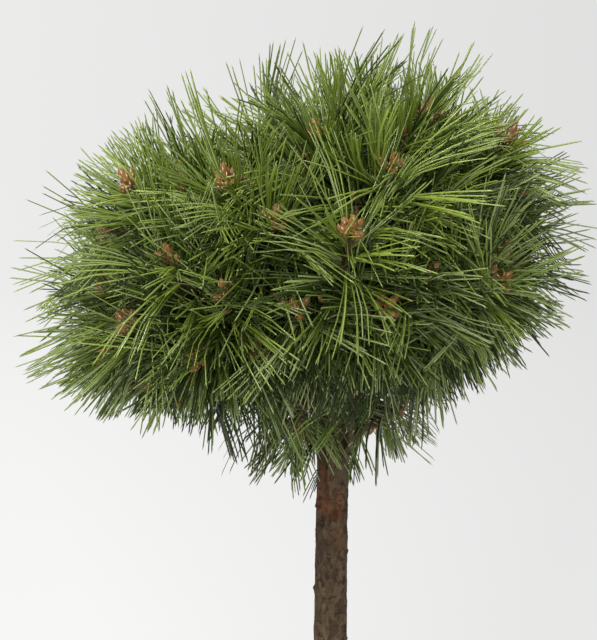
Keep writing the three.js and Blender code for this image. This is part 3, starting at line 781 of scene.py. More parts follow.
class Paint:
    """A material's nodes, with short ways to add and join them."""

    def __init__(self, name, colour, roughness, specular):
        self.material = bpy.data.materials.new(name)
        self.material.use_nodes = True
        self.material.diffuse_color = (*colour, 1)
        self.tree = self.material.node_tree
        self.shader = self.tree.nodes["Principled BSDF"]
        self.shade({"Base Color": (*colour, 1), "Roughness": roughness, "Specular IOR Level": specular})

    def shade(self, inputs):
        fill_in(self.tree, self.shader, inputs)

    def add(self, kind, inputs, **settings):
        return add_node(self.tree, kind, inputs, **settings)

    def place(self, scale=(1, 1, 1)):
        """Object coordinates, stretched by scale."""
        coordinates = self.add("TexCoord", {}).outputs["Object"]
        return self.add("Mapping", {"Vector": coordinates, "Scale": scale}).outputs["Vector"]

    def noise(self, place, scale, detail=4.0, roughness=0.55, distortion=0.0):
        inputs = {"Vector": place, "Scale": scale, "Detail": detail, "Roughness": roughness, "Distortion": distortion}
        return self.add("TexNoise", inputs).outputs["Fac"]

    def cells(self, place, scale):
        """The distance to the middle of the nearest cell."""
        return self.add("TexVoronoi", {"Vector": place, "Scale": scale}).outputs["Distance"]

    def cell_values(self, place, scale):
        """One random value for each cell."""
        colours = self.add("TexVoronoi", {"Vector": place, "Scale": scale}).outputs["Color"]
        return self.add("SeparateColor", {"Color": colours}).outputs["Red"]

    def steps(self, source, low, high):
        """A smooth rise from 0 to 1 as source goes from low to high."""
        return ranged(self.tree, source, (low, high), (0, 1), "SMOOTHSTEP")

    def combine(self, operation, first, second):
        """The result of an operation on two, each a number or a node's output."""
        return self.add("Math", {0: first, 1: second}, operation=operation).outputs["Value"]

    def times(self, source, factor):
        return self.combine("MULTIPLY", source, factor)

    def mix(self, factor, first, second):
        """first where factor is 0, second where it is 1. Each is a colour or a node's output."""
        first, second = (
            value if isinstance(value, bpy.types.NodeSocket) else (*value, 1) for value in (first, second)
        )
        return self.add("Mix", {"Factor": factor, 6: first, 7: second}, data_type="RGBA").outputs[2]

    def cover(self, colour, layer, where, strength):
        """The colour with a layer over it, as far as where and the strength say."""
        return self.mix(self.times(where, strength), colour, layer)

    def height(self, place):
        return self.add("SeparateXYZ", {"Vector": place}).outputs["Z"]

    def bump(self, source, strength, distance):
        node = self.add("Bump", {"Height": source, "Strength": strength, "Distance": distance})
        self.shade({"Normal": node.outputs["Normal"]})

    def colour(self, source):
        self.shade({"Base Color": source})

    def rough(self, source, low, high):
        self.shade({"Roughness": ranged(self.tree, source, (0, 1), (low, high))})


def clay_material(pot):
    paint = Paint("fired_clay", pot.clay, roughness=0.85, specular=0.3)
    place = paint.place()
    darker = tuple(value * 0.62 for value in pot.clay)
    patches = paint.noise(place, 9, detail=5, roughness=0.6, distortion=0.4)
    colour = paint.mix(paint.steps(patches, 0.38, 0.68), pot.clay, pot.pale_clay)
    smears = paint.noise(paint.place((1, 1, 0.35)), 16, roughness=0.6, distortion=0.6)
    colour = paint.cover(colour, darker, paint.steps(smears, 0.52, 0.75), 0.55)
    height = paint.height(place)
    near_foot = paint.combine("SUBTRACT", 1, paint.steps(height, 0.0, 0.075))
    near_rim = paint.steps(height, pot.height - pot.rim_height * 1.7, pot.height - pot.rim_height * 0.8)
    damp = paint.combine("MAXIMUM", near_foot, paint.times(near_rim, 0.55))
    bloom = paint.steps(paint.noise(place, 22, detail=8, roughness=0.68, distortion=0.9), 0.47, 0.7)
    colour = paint.cover(colour, pot.lime, paint.times(bloom, damp), 0.8)
    specks = paint.steps(paint.noise(place, 420, detail=2, roughness=0.5), 0.66, 0.72)
    paint.colour(paint.cover(colour, darker, specks, 0.5))
    paint.rough(patches, 0.78, 0.95)
    rings = paint.noise(paint.place((0.04, 0.04, 1)), 210, detail=3, roughness=0.5)
    grains = paint.noise(place, 620, detail=3, roughness=0.6)
    pits = paint.steps(paint.cells(place, 150), 0.0, 0.2)
    relief = paint.combine("ADD", paint.times(rings, 0.9), paint.times(grains, 0.35))
    paint.bump(paint.combine("ADD", relief, paint.times(pits, 0.25)), strength=0.35, distance=0.0012)
    return paint.material


def compost_material(name, compost, lightness=0.5):
    paint = Paint(name, compost.brown, roughness=0.95, specular=0.2)
    place = paint.place()
    patches = paint.noise(place, 60, detail=6, roughness=0.7)
    grains = paint.noise(place, 420, roughness=0.7)
    drier = paint.steps(patches, 0.5 - lightness * 0.25, 0.8 - lightness * 0.2)
    colour = paint.mix(drier, compost.dark, compost.brown)
    fibres = paint.steps(grains, 0.62, 0.72)
    paint.colour(paint.cover(colour, compost.chip, fibres, 0.6))
    paint.bump(paint.combine("ADD", grains, paint.times(patches, 1.5)), strength=0.8, distance=0.002)
    return paint.material


def bark_material(stem):
    """Small upright scales of their own shade, with soft dark spots, short cross marks and rust patches."""
    paint = Paint("pine_bark", stem.grey, roughness=0.88, specular=0.25)
    place = paint.place()
    upright = paint.place((1, 1, 0.55))
    patches = paint.noise(place, 42, detail=5, roughness=0.6, distortion=0.3)
    colour = paint.mix(paint.steps(patches, 0.4, 0.62), stem.grey, stem.brown)
    pale = tuple(min(1, value * 1.5) for value in stem.grey)
    scales = paint.cell_values(upright, 250)
    colour = paint.cover(colour, pale, paint.steps(scales, 0.6, 0.95), 0.7)
    colour = paint.cover(colour, stem.dark, paint.steps(scales, 0.45, 0.1), 0.55)
    rust = paint.steps(paint.noise(upright, 40, detail=3, roughness=0.6), 0.56, 0.68)
    colour = paint.cover(colour, stem.rust, rust, 0.5)
    spots = paint.steps(paint.noise(upright, 230, detail=3, roughness=0.6), 0.48, 0.72)
    colour = paint.cover(colour, stem.dark, spots, 0.72)
    marks = paint.steps(paint.noise(paint.place((1, 1, 3.5)), 130, detail=2, roughness=0.5), 0.6, 0.72)
    paint.colour(paint.cover(colour, stem.dark, marks, 0.85))
    fine = paint.noise(place, 520, roughness=0.65)
    raised = paint.combine("ADD", fine, scales)
    sunk = paint.combine("ADD", spots, marks)
    paint.bump(paint.combine("SUBTRACT", raised, sunk), strength=0.8, distance=0.0012)
    return paint.material


def twig_material(twigs):
    paint = Paint("twig_bark", twigs.bark, roughness=0.8, specular=0.3)
    scales = paint.cells(paint.place(), 420)
    paint.colour(paint.mix(paint.steps(scales, 0.25, 0.6), twigs.scale_bark, twigs.bark))
    paint.bump(scales, strength=0.7, distance=0.0012)
    return paint.material


def plain_materials(finishes):
    """Materials of one colour each, from rows of name, colour, roughness and specular level."""
    return [Paint(*finish).material for finish in finishes]


def needle_materials(needles):
    """The needles' greens, of which the sunlit one is painted light, the deep one painted shade and the grey one a
    pale bloom with painted sheen, then their pale tips and their sheaths, in the order of their tint numbers.
    """
    return plain_materials((
        ("needle_sunlit", needles.sunlit, 0.32, 0.9),
        ("needle_leaf", needles.leaf, 0.34, 0.75),
        ("needle_shaded", needles.deep, 0.42, 0.35),
        ("needle_bloom_and_sheen", needles.grey, 0.34, 0.8),
        ("needle_tip", needles.straw, 0.6, 0.25),
        ("needle_sheath", needles.sheath, 0.75, 0.25),
    ))


def bud_materials(buds):
    """A bud's body, its scales and the scales white with resin, in the order of their tint numbers."""
    return plain_materials((
        ("bud_brown", buds.brown, 0.55, 0.4),
        ("bud_orange", buds.orange, 0.5, 0.45),
        ("bud_resin", buds.resin, 0.4, 0.55),
    ))


# Turned pieces

def finely_divided(profile, step):
    """A profile with further points on its long straight lines."""
    points = [profile[0]]
    for start, end in zip(profile, profile[1:]):
        pieces = max(1, round(math.dist(start, end) / step))
        for i in range(1, pieces + 1):
            points.append(tuple(a + (b - a) * i / pieces for a, b in zip(start, end)))
    return points


def turned_bmesh(profile, steps):
    """Spins a profile of radius and height round the upright axis. Its two ends lie on the axis."""
    bm = bmesh.new()
    verts = [bm.verts.new((radius, 0, height)) for radius, height in profile]
    edges = [bm.edges.new(pair) for pair in zip(verts, verts[1:])]
    bmesh.ops.spin(
        bm, geom=verts + edges, cent=(0, 0, 0), axis=(0, 0, 1), dvec=(0, 0, 0),
        angle=2 * math.pi, steps=steps, use_merge=True, use_duplicate=False,
    )
    bmesh.ops.remove_doubles(bm, verts=bm.verts, dist=1e-6)
    bmesh.ops.recalc_face_normals(bm, faces=bm.faces)
    return bm


def rings_near(bm, corners):
    """The level edges whose ring lies at one of the given corners of a turned profile."""
    same, close = 1e-6, 1e-5
    near = []
    for edge in bm.edges:
        a, b = ((math.hypot(vert.co.x, vert.co.y), vert.co.z) for vert in edge.verts)
        level = abs(a[1] - b[1]) <= same and abs(a[0] - b[0]) <= same
        if level and any(math.dist(a, corner) < close for corner in corners):
            near.append(edge)
    return near


def inner_wall(pot):
    """The radius inside the pot at its floor and at its mouth."""
    return pot.foot_radius - pot.wall, pot.rim_radius - pot.wall - pot.rim_proud / 2


def build_pot(scene):
    pot = scene.pine_pot
    rim_bottom = pot.height - pot.rim_height
    inner_floor, mouth = inner_wall(pot)
    rim_taper = 0.001
    outline = [
        (0, 0),
        (pot.foot_radius - pot.lip, 0),
        (pot.foot_radius, pot.lip),
        (pot.body_radius, rim_bottom),
        (pot.rim_radius - pot.lip, rim_bottom + pot.lip / 2),
        (pot.rim_radius - rim_taper, rim_bottom + pot.lip * 1.5),
        (pot.rim_radius, pot.height - pot.lip * 1.5),
        (pot.rim_radius - pot.lip, pot.height),
        (mouth + pot.lip, pot.height),
        (mouth, pot.height - pot.lip),
        (inner_floor, pot.floor),
        (0, pot.floor),
    ]
    bm = turned_bmesh(finely_divided(outline, step=0.008), steps=120)
    rounded = rings_near(bm, outline[1:-1])
    bmesh.ops.bevel(bm, geom=rounded, offset=0.0016, segments=3, profile=0.5, affect="EDGES", material=-1)
    bmesh.ops.recalc_face_normals(bm, faces=bm.faces)
    wobbles, rings, ring_share = 14, 260, 0.35
    for vert in bm.verts:
        radius = math.hypot(vert.co.x, vert.co.y)
        if radius > inner_floor * 0.5 and vert.co.z > 0.001:
            ring = noise.noise(Vector((0, 0, vert.co.z * rings)))
            stray = noise.noise(vert.co * wobbles) + ring_share * ring
            factor = 1 + stray * pot.unevenness / radius
            vert.co.x *= factor
            vert.co.y *= factor
    mesh = mesh_from_bmesh(bm, "pot_clay", [clay_material(pot)])
    piece = new_piece(mesh, "clay", "pot")
    cut_drains(piece, pot)


def cut_drains(piece, pot):
    """Cuts the drain holes through the pot's floor."""
    bm = bmesh.new()
    for i in range(pot.drains):
        turn = i * 2 * math.pi / pot.drains + math.pi / 2
        at = Matrix.Translation((math.cos(turn) * pot.drain_circle, math.sin(turn) * pot.drain_circle, 0))
        bmesh.ops.create_cone(
            bm, cap_ends=True, segments=28, radius1=pot.drain_radius, radius2=pot.drain_radius,
            depth=pot.floor * 3, matrix=at,
        )
    cutter = linked(bpy.context.scene, "drain_cutter", mesh_from_bmesh(bm, "drain_cutter", [], smooth=False))
    cut = piece.modifiers.new("drains", "BOOLEAN")
    cut.operation = "DIFFERENCE"
    cut.object = cutter
    cut.solver = "EXACT"
    depsgraph = bpy.context.evaluated_depsgraph_get()
    mesh = bpy.data.meshes.new_from_object(piece.evaluated_get(depsgraph))
    piece.modifiers.clear()
    piece.data = mesh
    mesh.name = "pot_clay"
    bpy.data.objects.remove(cutter)
    mesh.set_sharp_from_angle(angle=math.radians(50))


def build_compost(scene):
    pot, compost, stem = scene.pine_pot, scene.pine_compost, scene.pine_stem
    inner_floor, mouth = inner_wall(pot)
    top = pot.height - compost.below_rim
    edge = top - compost.crown
    bottom = pot.floor + JOINT_GAP
    foot = stem.foot_radius + STEM_SHAPE["flare"]

    def inner_radius(height):
        share = (height - pot.floor) / (pot.height - pot.lip - pot.floor)
        return inner_floor + (mouth - inner_floor) * share

    limit = inner_radius(edge) - JOINT_GAP - pot.unevenness
    outline = [
        (0, bottom),
        (inner_radius(bottom) - JOINT_GAP - pot.unevenness, bottom),
        (limit, edge),
        (inner_radius(edge) * compost.shoulder_share, top - compost.shoulder),
        (foot + 0.008, top),
        (0, top),
    ]
    bm = turned_bmesh(finely_divided(outline, step=0.0035), steps=150)
    fade_width, edge_share = 0.004, 0.25
    surface = []
    for vert in bm.verts:
        if vert.co.z < edge - 0.0005:
            continue
        radius = math.hypot(vert.co.x, vert.co.y)
        lump = sum(share * noise.noise(vert.co * waves) for waves, share in LUMP_WAVES)
        fade = min(1, max(0, (limit - radius) / fade_width)) * (1 - edge_share) + edge_share
        vert.co.z += lump * compost.lumps * fade
        surface.append(vert.co.copy())
    mesh = mesh_from_bmesh(bm, "compost", [compost_material("compost", compost)])
    new_piece(mesh, "soil", "soil")
    scatter_crumbs(compost, surface, limit, foot)


def crumb_shapes():
    """Rough lumps of 20 faces, for crumbs and for flat bark chips."""
    kinds, unevenness, swells, apart = 4, 0.32, 1.7, 7.3
    shapes = []
    for i in range(kinds):
        bm = bmesh.new()
        bmesh.ops.create_icosphere(bm, subdivisions=1, radius=1)
        for vert in bm.verts:
            vert.co *= 1 + unevenness * noise.noise(vert.co * swells + Vector((i * apart, 0, 0)))
        shapes.append((np.array([vert.co[:] for vert in bm.verts]), faces_of(bm)))
        bm.free()
    return shapes


def faces_of(bm):
    bm.verts.index_update()
    return np.array([[vert.index for vert in face.verts] for face in bm.faces])


def turn_matrices(rng, count):
    """Evenly random turns."""
    q = unit(rng.normal(size=(count, 4)))
    w, x, y, z = q.T
    return np.stack([
        np.stack([1 - 2 * (y * y + z * z), 2 * (x * y - w * z), 2 * (x * z + w * y)], -1),
        np.stack([2 * (x * y + w * z), 1 - 2 * (x * x + z * z), 2 * (y * z - w * x)], -1),
        np.stack([2 * (x * z - w * y), 2 * (y * z + w * x), 1 - 2 * (x * x + y * y)], -1),
    ], axis=1)


def scatter_crumbs(compost, surface, outer, inner):
    """Strews crumbs and flat bark chips over the compost, between the stem's foot and the pot."""
    rng = np.random.default_rng(LAYOUT_SEED)
    inner_gap, outer_gap, stray, upright_stray = 0.003, 0.006, 0.0012, 0.3
    smallest, size_range, rarity, chip_share = 0.0012, 0.0026, 2.2, 0.3
    chip_size, crumb_size, chip_flatness = (2.1, 1.15, 0.42), (1.0, 0.9, 0.8), 0.45
    surface = np.array(surface)
    radius = np.hypot(surface[:, 0], surface[:, 1])
    inside = (radius > inner + inner_gap) & (radius < outer - outer_gap)
    surface, weight = surface[inside], radius[inside]
    chosen = rng.choice(len(surface), size=compost.crumbs, p=weight / weight.sum())
    places = surface[chosen] + rng.normal(scale=stray, size=(compost.crumbs, 3)) * (1, 1, upright_stray)
    sizes = smallest + size_range * rng.random(compost.crumbs) ** rarity
    chips = rng.random(compost.crumbs) < chip_share
    stretch = np.where(chips[:, None], chip_size, crumb_size) * sizes[:, None]
    turns = turn_matrices(rng, compost.crumbs)
    shapes = crumb_shapes()
    gathered = Gathered()
    for i, chip in enumerate(chips):
        shape, faces = shapes[i % len(shapes)]
        moved = (shape * stretch[i]) @ turns[i].T
        if chip:
            moved[:, 2] *= chip_flatness
        gathered.add(moved + places[i], [faces], [np.full(len(faces), int(chip))])
    crumb = compost_material("compost_crumb", compost, lightness=0.9)
    chip = Paint("bark_chip", compost.chip, roughness=0.9, specular=0.2).material
    new_piece(gathered.mesh("compost_crumbs", [crumb, chip], smooth=False), "soil")


# Bark

def ring_matrix(middle, heading, side, radius):
    across = heading.cross(side)
    turn = Matrix((side, across, heading)).transposed().to_4x4()
    return Matrix.Translation(middle) @ turn @ Matrix.Diagonal((radius, radius, radius, 1))


def first_ring(bm, sides, radius):
    """A level closed disc to extrude from: its verts and its edges."""
    ring = bmesh.ops.create_circle(bm, cap_ends=False, segments=sides, radius=radius)["verts"]
    edges = list({edge for vert in ring for edge in vert.link_edges})
    bmesh.ops.contextual_create(bm, geom=edges)
    return ring, edges


def next_ring(bm, edges):
    """Extrudes a ring's edges in place, and gives the new ring's verts and edges."""
    extruded = bmesh.ops.extrude_edge_only(bm, edges=edges)["geom"]
    ring = [item for item in extruded if isinstance(item, bmesh.types.BMVert)]
    return ring, [item for item in extruded if isinstance(item, bmesh.types.BMEdge)]


def extruded_limb(bm, path, radius_at, shares, sides, relief_at):
    """Extrudes a ring along a path, with bark relief, and closes both its ends."""
    ring, edges = first_ring(bm, sides, 1)
    upright = abs(path.heading(shares[0])[0][2]) > NEARLY_UPRIGHT
    side = Vector((1, 0, 0)) if upright else Vector((0, 0, 1))
    earlier = Matrix.Identity(4)
    for order, share in enumerate(shares):
        middle = Vector(path.spot(share))
        heading = Vector(path.heading(share)[0])
        side = (side - heading * side.dot(heading)).normalized()
        current = ring_matrix(middle, heading, side, radius_at(share))
        if order:
            ring, edges = next_ring(bm, edges)
        bmesh.ops.transform(bm, matrix=current @ earlier.inverted(), verts=ring)
        earlier = current
        for vert in ring:
            vert.tag = True
    bmesh.ops.contextual_create(bm, geom=edges)
    bmesh.ops.recalc_face_normals(bm, faces=bm.faces)
    for vert in [vert for vert in bm.verts if vert.tag]:
        vert.tag = False
        vert.co += vert.normal * relief_at(vert.co)


def bark_relief(point, depth):
    """Long swells under small scales and a fine grain, as a distance outwards."""
    upright = Vector((point.x, point.y, point.z * 0.55))
    swell = noise.noise(upright * 60)
    scales = noise.noise(upright * 205)
    grain = noise.noise(point * 420)
    return depth * (0.5 * swell + 0.4 * scales + 0.25 * grain)


def stem_knots(plant, count):
    """Places on the stem where small side shoots were cut back, as point, outward size and width."""
    rng = np.random.default_rng(LAYOUT_SEED + KNOT_SEED)
    lowest, highest = plant.foot + 0.02, 0.74
    least_stand, more_stand, least_width, more_width = 0.0018, 0.0014, 0.0014, 0.0008
    knots = []
    for i in range(count):
        height = lowest + (highest - plant.foot) * (i + rng.random() * 0.8) / count
        turn = i * GOLDEN_ANGLE + rng.random()
        middle = plant.stem.spot(plant.stem_share(height))
        radius = plant.stem_radius(height)
        point = Vector((middle[0] + math.cos(turn) * radius, middle[1] + math.sin(turn) * radius, height))
        stand = least_stand + more_stand * rng.random()
        knots.append((point, stand, least_width + more_width * rng.random()))
    return knots


def build_trunk(scene):
    plant, size = Plant(scene), scene.pine_stem
    knots = stem_knots(plant, size.knots)
    knot_reach, pit_depth, pit_width = 3, 0.5, 0.4
    steps, sides, below_compost = 420, 84, 0.004

    def radius_at(share):
        return plant.stem_radius(plant.start + share * plant.height)

    def relief(point):
        """The bark with its knots, each a low bump with a pit in its middle."""
        lift = bark_relief(point, size.relief)
        for knot, stand, width in knots:
            if abs(point.z - knot.z) < width * knot_reach:
                away = (point - knot).length / width
                lift += stand * math.exp(-away * away) - stand * pit_depth * math.exp(-(away / pit_width) ** 2)
        return lift

    bm = bmesh.new()
    low = plant.stem_share(plant.foot - below_compost)
    shares = [low + (1 - low) * i / steps for i in range(steps + 1)]
    extruded_limb(bm, plant.stem, radius_at, shares, sides, relief)
    mesh = mesh_from_bmesh(bm, "stem_bark", [bark_material(size)])
    new_piece(mesh, "bark", "trunk")


def build_boughs(scene):
    plant, size = Plant(scene), scene.pine_stem
    steps, sides, softer = 34, 24, 0.6
    bm = bmesh.new()
    names = []

    def relief(point):
        return bark_relief(point, size.relief * softer)

    for mass in plant.masses:
        if not mass["bough"]:
            continue
        entry = mass["entry"]

        def radius_at(share):
            return size.bough_radius + (size.bough_tip_radius - size.bough_radius) * share / entry

        shares = [entry * i / steps for i in range(steps + 1)]
        extruded_limb(bm, mass["line"], radius_at, shares, sides, relief)
        names.append(f"bough_{mass['name']}")
    mesh = mesh_from_bmesh(bm, "bough_bark", [bark_material(size)])
    new_piece(mesh, "bark", *names)


# Twigs, needles and buds

def build_twigs(scene):
    plant, size = Plant(scene), scene.pine_twigs
    skirt_thickness, side_thickness = 0.65, 0.72
    ring_gap, knuckles, knuckle_turn = 0.007, 0.12, 2.4
    runs = []
    for mass in plant.masses:
        stout = 1.0 if mass["bough"] else skirt_thickness
        runs.append((mass["line"], mass["entry"] * 0.98, size.stem_radius * stout, size.stem_tip_radius * stout))
        for shoot in mass["shoots"]:
            thick = 1.0 if shoot["main"] else side_thickness
            runs.append((shoot["line"], 0.0, size.radius * thick, size.tip_radius * thick))
    gathered = Gathered()
    for path, start, thick, thin in runs:
        rings = max(4, round(path.length * (1 - start) / ring_gap))
        radii = np.linspace(thick, thin, rings) * (1 + knuckles * np.sin(np.arange(rings) * knuckle_turn))
        line = path.at(np.linspace(start, 1.0, rings))[None]
        points, faces = rods(line, radii[None], path.heading((start + 1) / 2), sides=7, pointed=False)
        gathered.add(points, faces, [np.zeros(len(part), int) for part in faces])
    new_piece(gathered.mesh("twig_bark", [twig_material(size)]), "bark")


def outside_reach(crown, place, within):
    """True for points out of both the crown, square-edged below, and the skirt that hangs from it."""
    from_crown = place - np.array(crown.middle)
    within = within * lumps(crown, unit(from_crown))
    aside = from_crown[:, 0]
    from_crown[:, 2] -= crown.tilt * aside * np.where(aside > 0, crown.right_tilt, crown.left_tilt)
    high = from_crown[:, 2] > 0
    power = np.where(high, crown.high_power, crown.low_power)
    size = np.where(high[:, None], (crown.across, crown.deep, crown.up), (crown.across, crown.deep, crown.down))
    far_right = np.maximum(0, aside / crown.across - crown.lift_from)
    size[:, 2] *= np.where(high, 1, np.maximum(crown.least_down, 1 - crown.right_lift * far_right))
    outside_crown = np.sum(np.abs(from_crown / size) ** power[:, None], axis=1) > within ** power
    skirt_size = (crown.skirt_across, crown.skirt_across, crown.skirt_down)
    from_stem = (place - np.array([0, 0, crown.middle[2]])) / skirt_size
    return outside_crown & (np.sum(from_stem ** 2, axis=1) > within ** 2)


def lumps(crown, directions):
    """Smooth swells and hollows of the crown's reach, by direction from its middle."""
    waves = 5
    rng = np.random.default_rng(crown.lump_seed)
    swells = unit(rng.normal(size=(waves, 3))) * rng.uniform(7, 14, (waves, 1))
    phases = rng.uniform(0, 2 * math.pi, waves)
    return 1 + crown.lumpiness * np.sin(directions @ swells.T + phases).mean(axis=1)


def share_in_reach(crown, start, end, within):
    """How much of each line stays inside the plant's reach, drawn in by the shares in within."""
    inner, outer = np.zeros(len(start)), np.ones(len(start))
    whole = ~outside_reach(crown, end, within)
    for _ in range(12):
        half = (inner + outer) / 2
        beyond = outside_reach(crown, start + (end - start) * half[:, None], within)
        outer = np.where(beyond, half, outer)
        inner = np.where(beyond, inner, half)
    return np.where(whole, 1.0, inner)


def clear_of_limbs(plant, lines):
    """True for each needle whose line stays out of the stem and the boughs."""
    clear = np.ones(len(lines), bool)
    probes = lines[:, 2:, :]
    heights = np.linspace(0.66, plant.stem_size.top, 24)
    stretches = []
    for low, high in zip(heights, heights[1:]):
        ends = plant.stem.at([plant.stem_share(low), plant.stem_share(high)])
        stretches.append((ends[0], ends[1], max(plant.stem_radius(low), plant.stem_radius(high))))
    for mass in plant.masses:
        if mass["bough"]:
            knots = mass["line"].at(np.linspace(0, mass["entry"], 5))
            stretches += [(a, b, plant.stem_size.bough_radius) for a, b in zip(knots, knots[1:])]
    for start, end, radius in stretches:
        run = end - start
        along = np.clip(((probes - start) @ run) / (run @ run), 0, 1)
        gap = np.linalg.norm(probes - (start + along[..., None] * run), axis=-1)
        clear &= ~np.any(gap < radius + LIMB_ROOM, axis=1)
    return clear


def needle_roots(plant, needles, shoot, rng):
    """Where the pairs of needles of one shoot leave it: each pair's lock, and how near it is to the tip.

    Pairs grow in locks, which wind up the shoot. Their number is the second result."""
    lowest = min(plant.lowness(shoot["tip"]), 0.5)
    thinned = 1 - needles.low_thinning * lowest if shoot["mass"]["bough"] else needles.skirt_share
    locks = max(2, round((needles.locks if shoot["main"] else needles.side_locks) * thinned))
    lock = np.repeat(np.arange(locks), needles.lock_pairs)
    lock = lock[rng.random(len(lock)) < KEPT_PAIRS]
    return lock, locks, np.clip((lock + rng.random(len(lock))) / locks, 0, 1)


def pair_directions(plant, needles, shoot, rng, lock, locks, back, along):
    """The direction in which each pair leaves its shoot. A lock's pairs lean alike."""
    low, count = plant.lowness(shoot["tip"]), len(lock)
    side, other = side_vectors(along)
    lock_turn = np.arange(locks) * GOLDEN_ANGLE + shoot["phase"] + rng.normal(scale=STRAY["lock_turn"], size=locks)
    around = lock_turn[lock] + rng.normal(scale=needles.lock_width, size=count)
    outward = side * np.cos(around)[:, None] + other * np.sin(around)[:, None]
    upright = 1 - needles.upright_closing * plant.highness(shoot["tip"])
    closed = ((lock + 0.5) / locks) ** needles.closing
    lock_angle = (needles.widest + (needles.narrowest - needles.widest) * closed) * upright
    angle = lock_angle * (1 + rng.normal(scale=STRAY["lock_angle"], size=locks)[lock])
    angle = angle + rng.normal(scale=STRAY["pair_angle"], size=count)
    leading = along * np.cos(angle)[:, None] + outward * np.sin(angle)[:, None]
    nearing_tip, top_from, top_droop, low_top_droop = 0.5, 0.3, 0.4, 0.5
    droop = needles.droop + needles.low_droop * low * (1 - nearing_tip * back)
    on_top = outward[:, 2] >= top_from
    leading[:, 2] -= droop * np.sin(np.abs(angle)) * np.where(on_top, top_droop + low_top_droop * low, 1)
    return unit(leading)


def needle_rows(plant, needles, shoot, rng):
    """The needles of one shoot: lines by rings by 3, first headings, and tint numbers."""
    low, path = plant.lowness(shoot["tip"]), shoot["line"]
    lock, locks, back = needle_roots(plant, needles, shoot, rng)
    bearing = min(needles.bearing, path.length * needles.bearing_share) / path.length
    shares = np.maximum(1 - needles.bare_tip / path.length - bearing * (1 - back), LOWEST_ROOT)
    roots, along = path.at(shares), path.heading(shares)
    leading = pair_directions(plant, needles, shoot, rng, lock, locks, back, along)
    count = len(lock)
    bend = needles.bend * rng.normal(size=(locks, 3))[lock] + STRAY["pair_bend"] * rng.normal(size=(count, 3))

    # A pair's two needles open to opposite sides.
    twist = rng.normal(size=(count, 3))
    twist = unit(twist - leading * np.sum(twist * leading, axis=1, keepdims=True))
    opening = np.radians(rng.uniform(*PAIR_OPENING, size=count))[:, None]
    first = np.concatenate([unit(leading + twist * opening), unit(leading - twist * opening)])
    twist = np.concatenate([twist, -twist])
    roots, along, bend = (np.tile(rows, (2, 1)) for rows in (roots, along, bend))
    back, lock, total = np.tile(back, 2), np.tile(lock, 2), 2 * count

    inner_shorter, low_longer, opening_on = 0.1, 0.14, 0.05
    spread = 1 + needles.length_spread * (rng.random(locks)[lock] - 0.5)
    spread = spread + STRAY["length"] * (rng.random(total) - 0.5)
    stunted = np.where(rng.random(total) < STUNTED, rng.uniform(*STUNTED_LENGTH, total), 1.0)
    length = needles.length * spread * stunted * rng.uniform(*SHOOT_LENGTH)
    length *= (1.0 if shoot["main"] else SIDE_LENGTH) * (1 - inner_shorter * (1 - back)) * (1 + low_longer * low)

    # Each needle bends towards its shoot, its lock's own way and downwards.
    forward = rng.normal(needles.closing_in, STRAY["lock_forward"], locks)[lock]
    sag = needles.sag + needles.low_sag * low + rng.normal(scale=STRAY["lock_sag"], size=locks)[lock]
    opened = rng.normal(opening_on, STRAY["opening"], total)
    last = first + along * forward[:, None] + twist * opened[:, None] + bend
    last[:, 2] -= sag * np.hypot(first[:, 0], first[:, 1])
    last = unit(last)

    within = rng.uniform(*SHOOT_REACH) * rng.uniform(*LOCK_REACH, locks)[lock] * rng.uniform(*NEEDLE_REACH, total)
    ragged = needles.raggedness * (low if shoot["mass"]["bough"] else SKIRT_RAGGEDNESS)
    within = within * (1 - ragged * rng.random(locks)[lock])
    kept = share_in_reach(plant.crown, roots, roots + length[:, None] * (first + last) / 2, within)
    length = length * kept
    rings = np.array(NEEDLE_RINGS)[None, :, None]
    curve = (last - first)[:, None, :]
    lines = roots[:, None, :] + length[:, None, None] * (first[:, None, :] * rings + curve * rings ** 2 / 2)
    good = (kept >= needles.shortest) & clear_of_limbs(plant, lines)
    tints = needle_tints(plant, shoot, rng, lock, back)
    return lines[good], first[good], tints[good]


def needle_tints(plant, shoot, rng, lock, back):
    """Green numbers by spray and lock: sunlit ones at the top as painted light, grey ones low down as a pale bloom
    with painted sheen, deep ones inside as painted shade.
    """
    crown, locks, total = plant.crown, lock.max() + 1, len(lock)
    tip = shoot["tip"] - np.array(crown.middle)
    rise = tip[2] - crown.tilt * tip[0]
    fall = 0.2
    low = min(max(0.5 - rise / fall, 0), 1)
    # Painted shade: low shoots get deeper greens, the skirt's less so, and side shoots and needles near a shoot's
    # foot deeper still.
    darkening = GREENS["low"] if shoot["mass"]["bough"] else GREENS["skirt_low"]
    level = GREENS["level"] + darkening * low + rng.normal(scale=GREENS["shoot_stray"])
    level = level + (0 if shoot["main"] else GREENS["side_shoot"])
    level = level + rng.normal(scale=GREENS["lock_stray"], size=locks)[lock]
    shade = level + rng.normal(scale=GREENS["needle_stray"], size=total) + GREENS["inner"] * (1 - back)
    greens = np.clip(np.round(shade), SUNLIT, SHADED).astype(int)
    # Low shoots get more of the grey green, partly a pale bloom and partly a painted sheen.
    grey_needles, grey_locks = (least + more * low for least, more in (GREENS["grey_needles"], GREENS["grey_locks"]))
    greyish = (rng.random(total) < grey_needles) & (rng.random(locks)[lock] < grey_locks)
    return np.where(greyish, BLOOM_AND_SHEEN, greens)


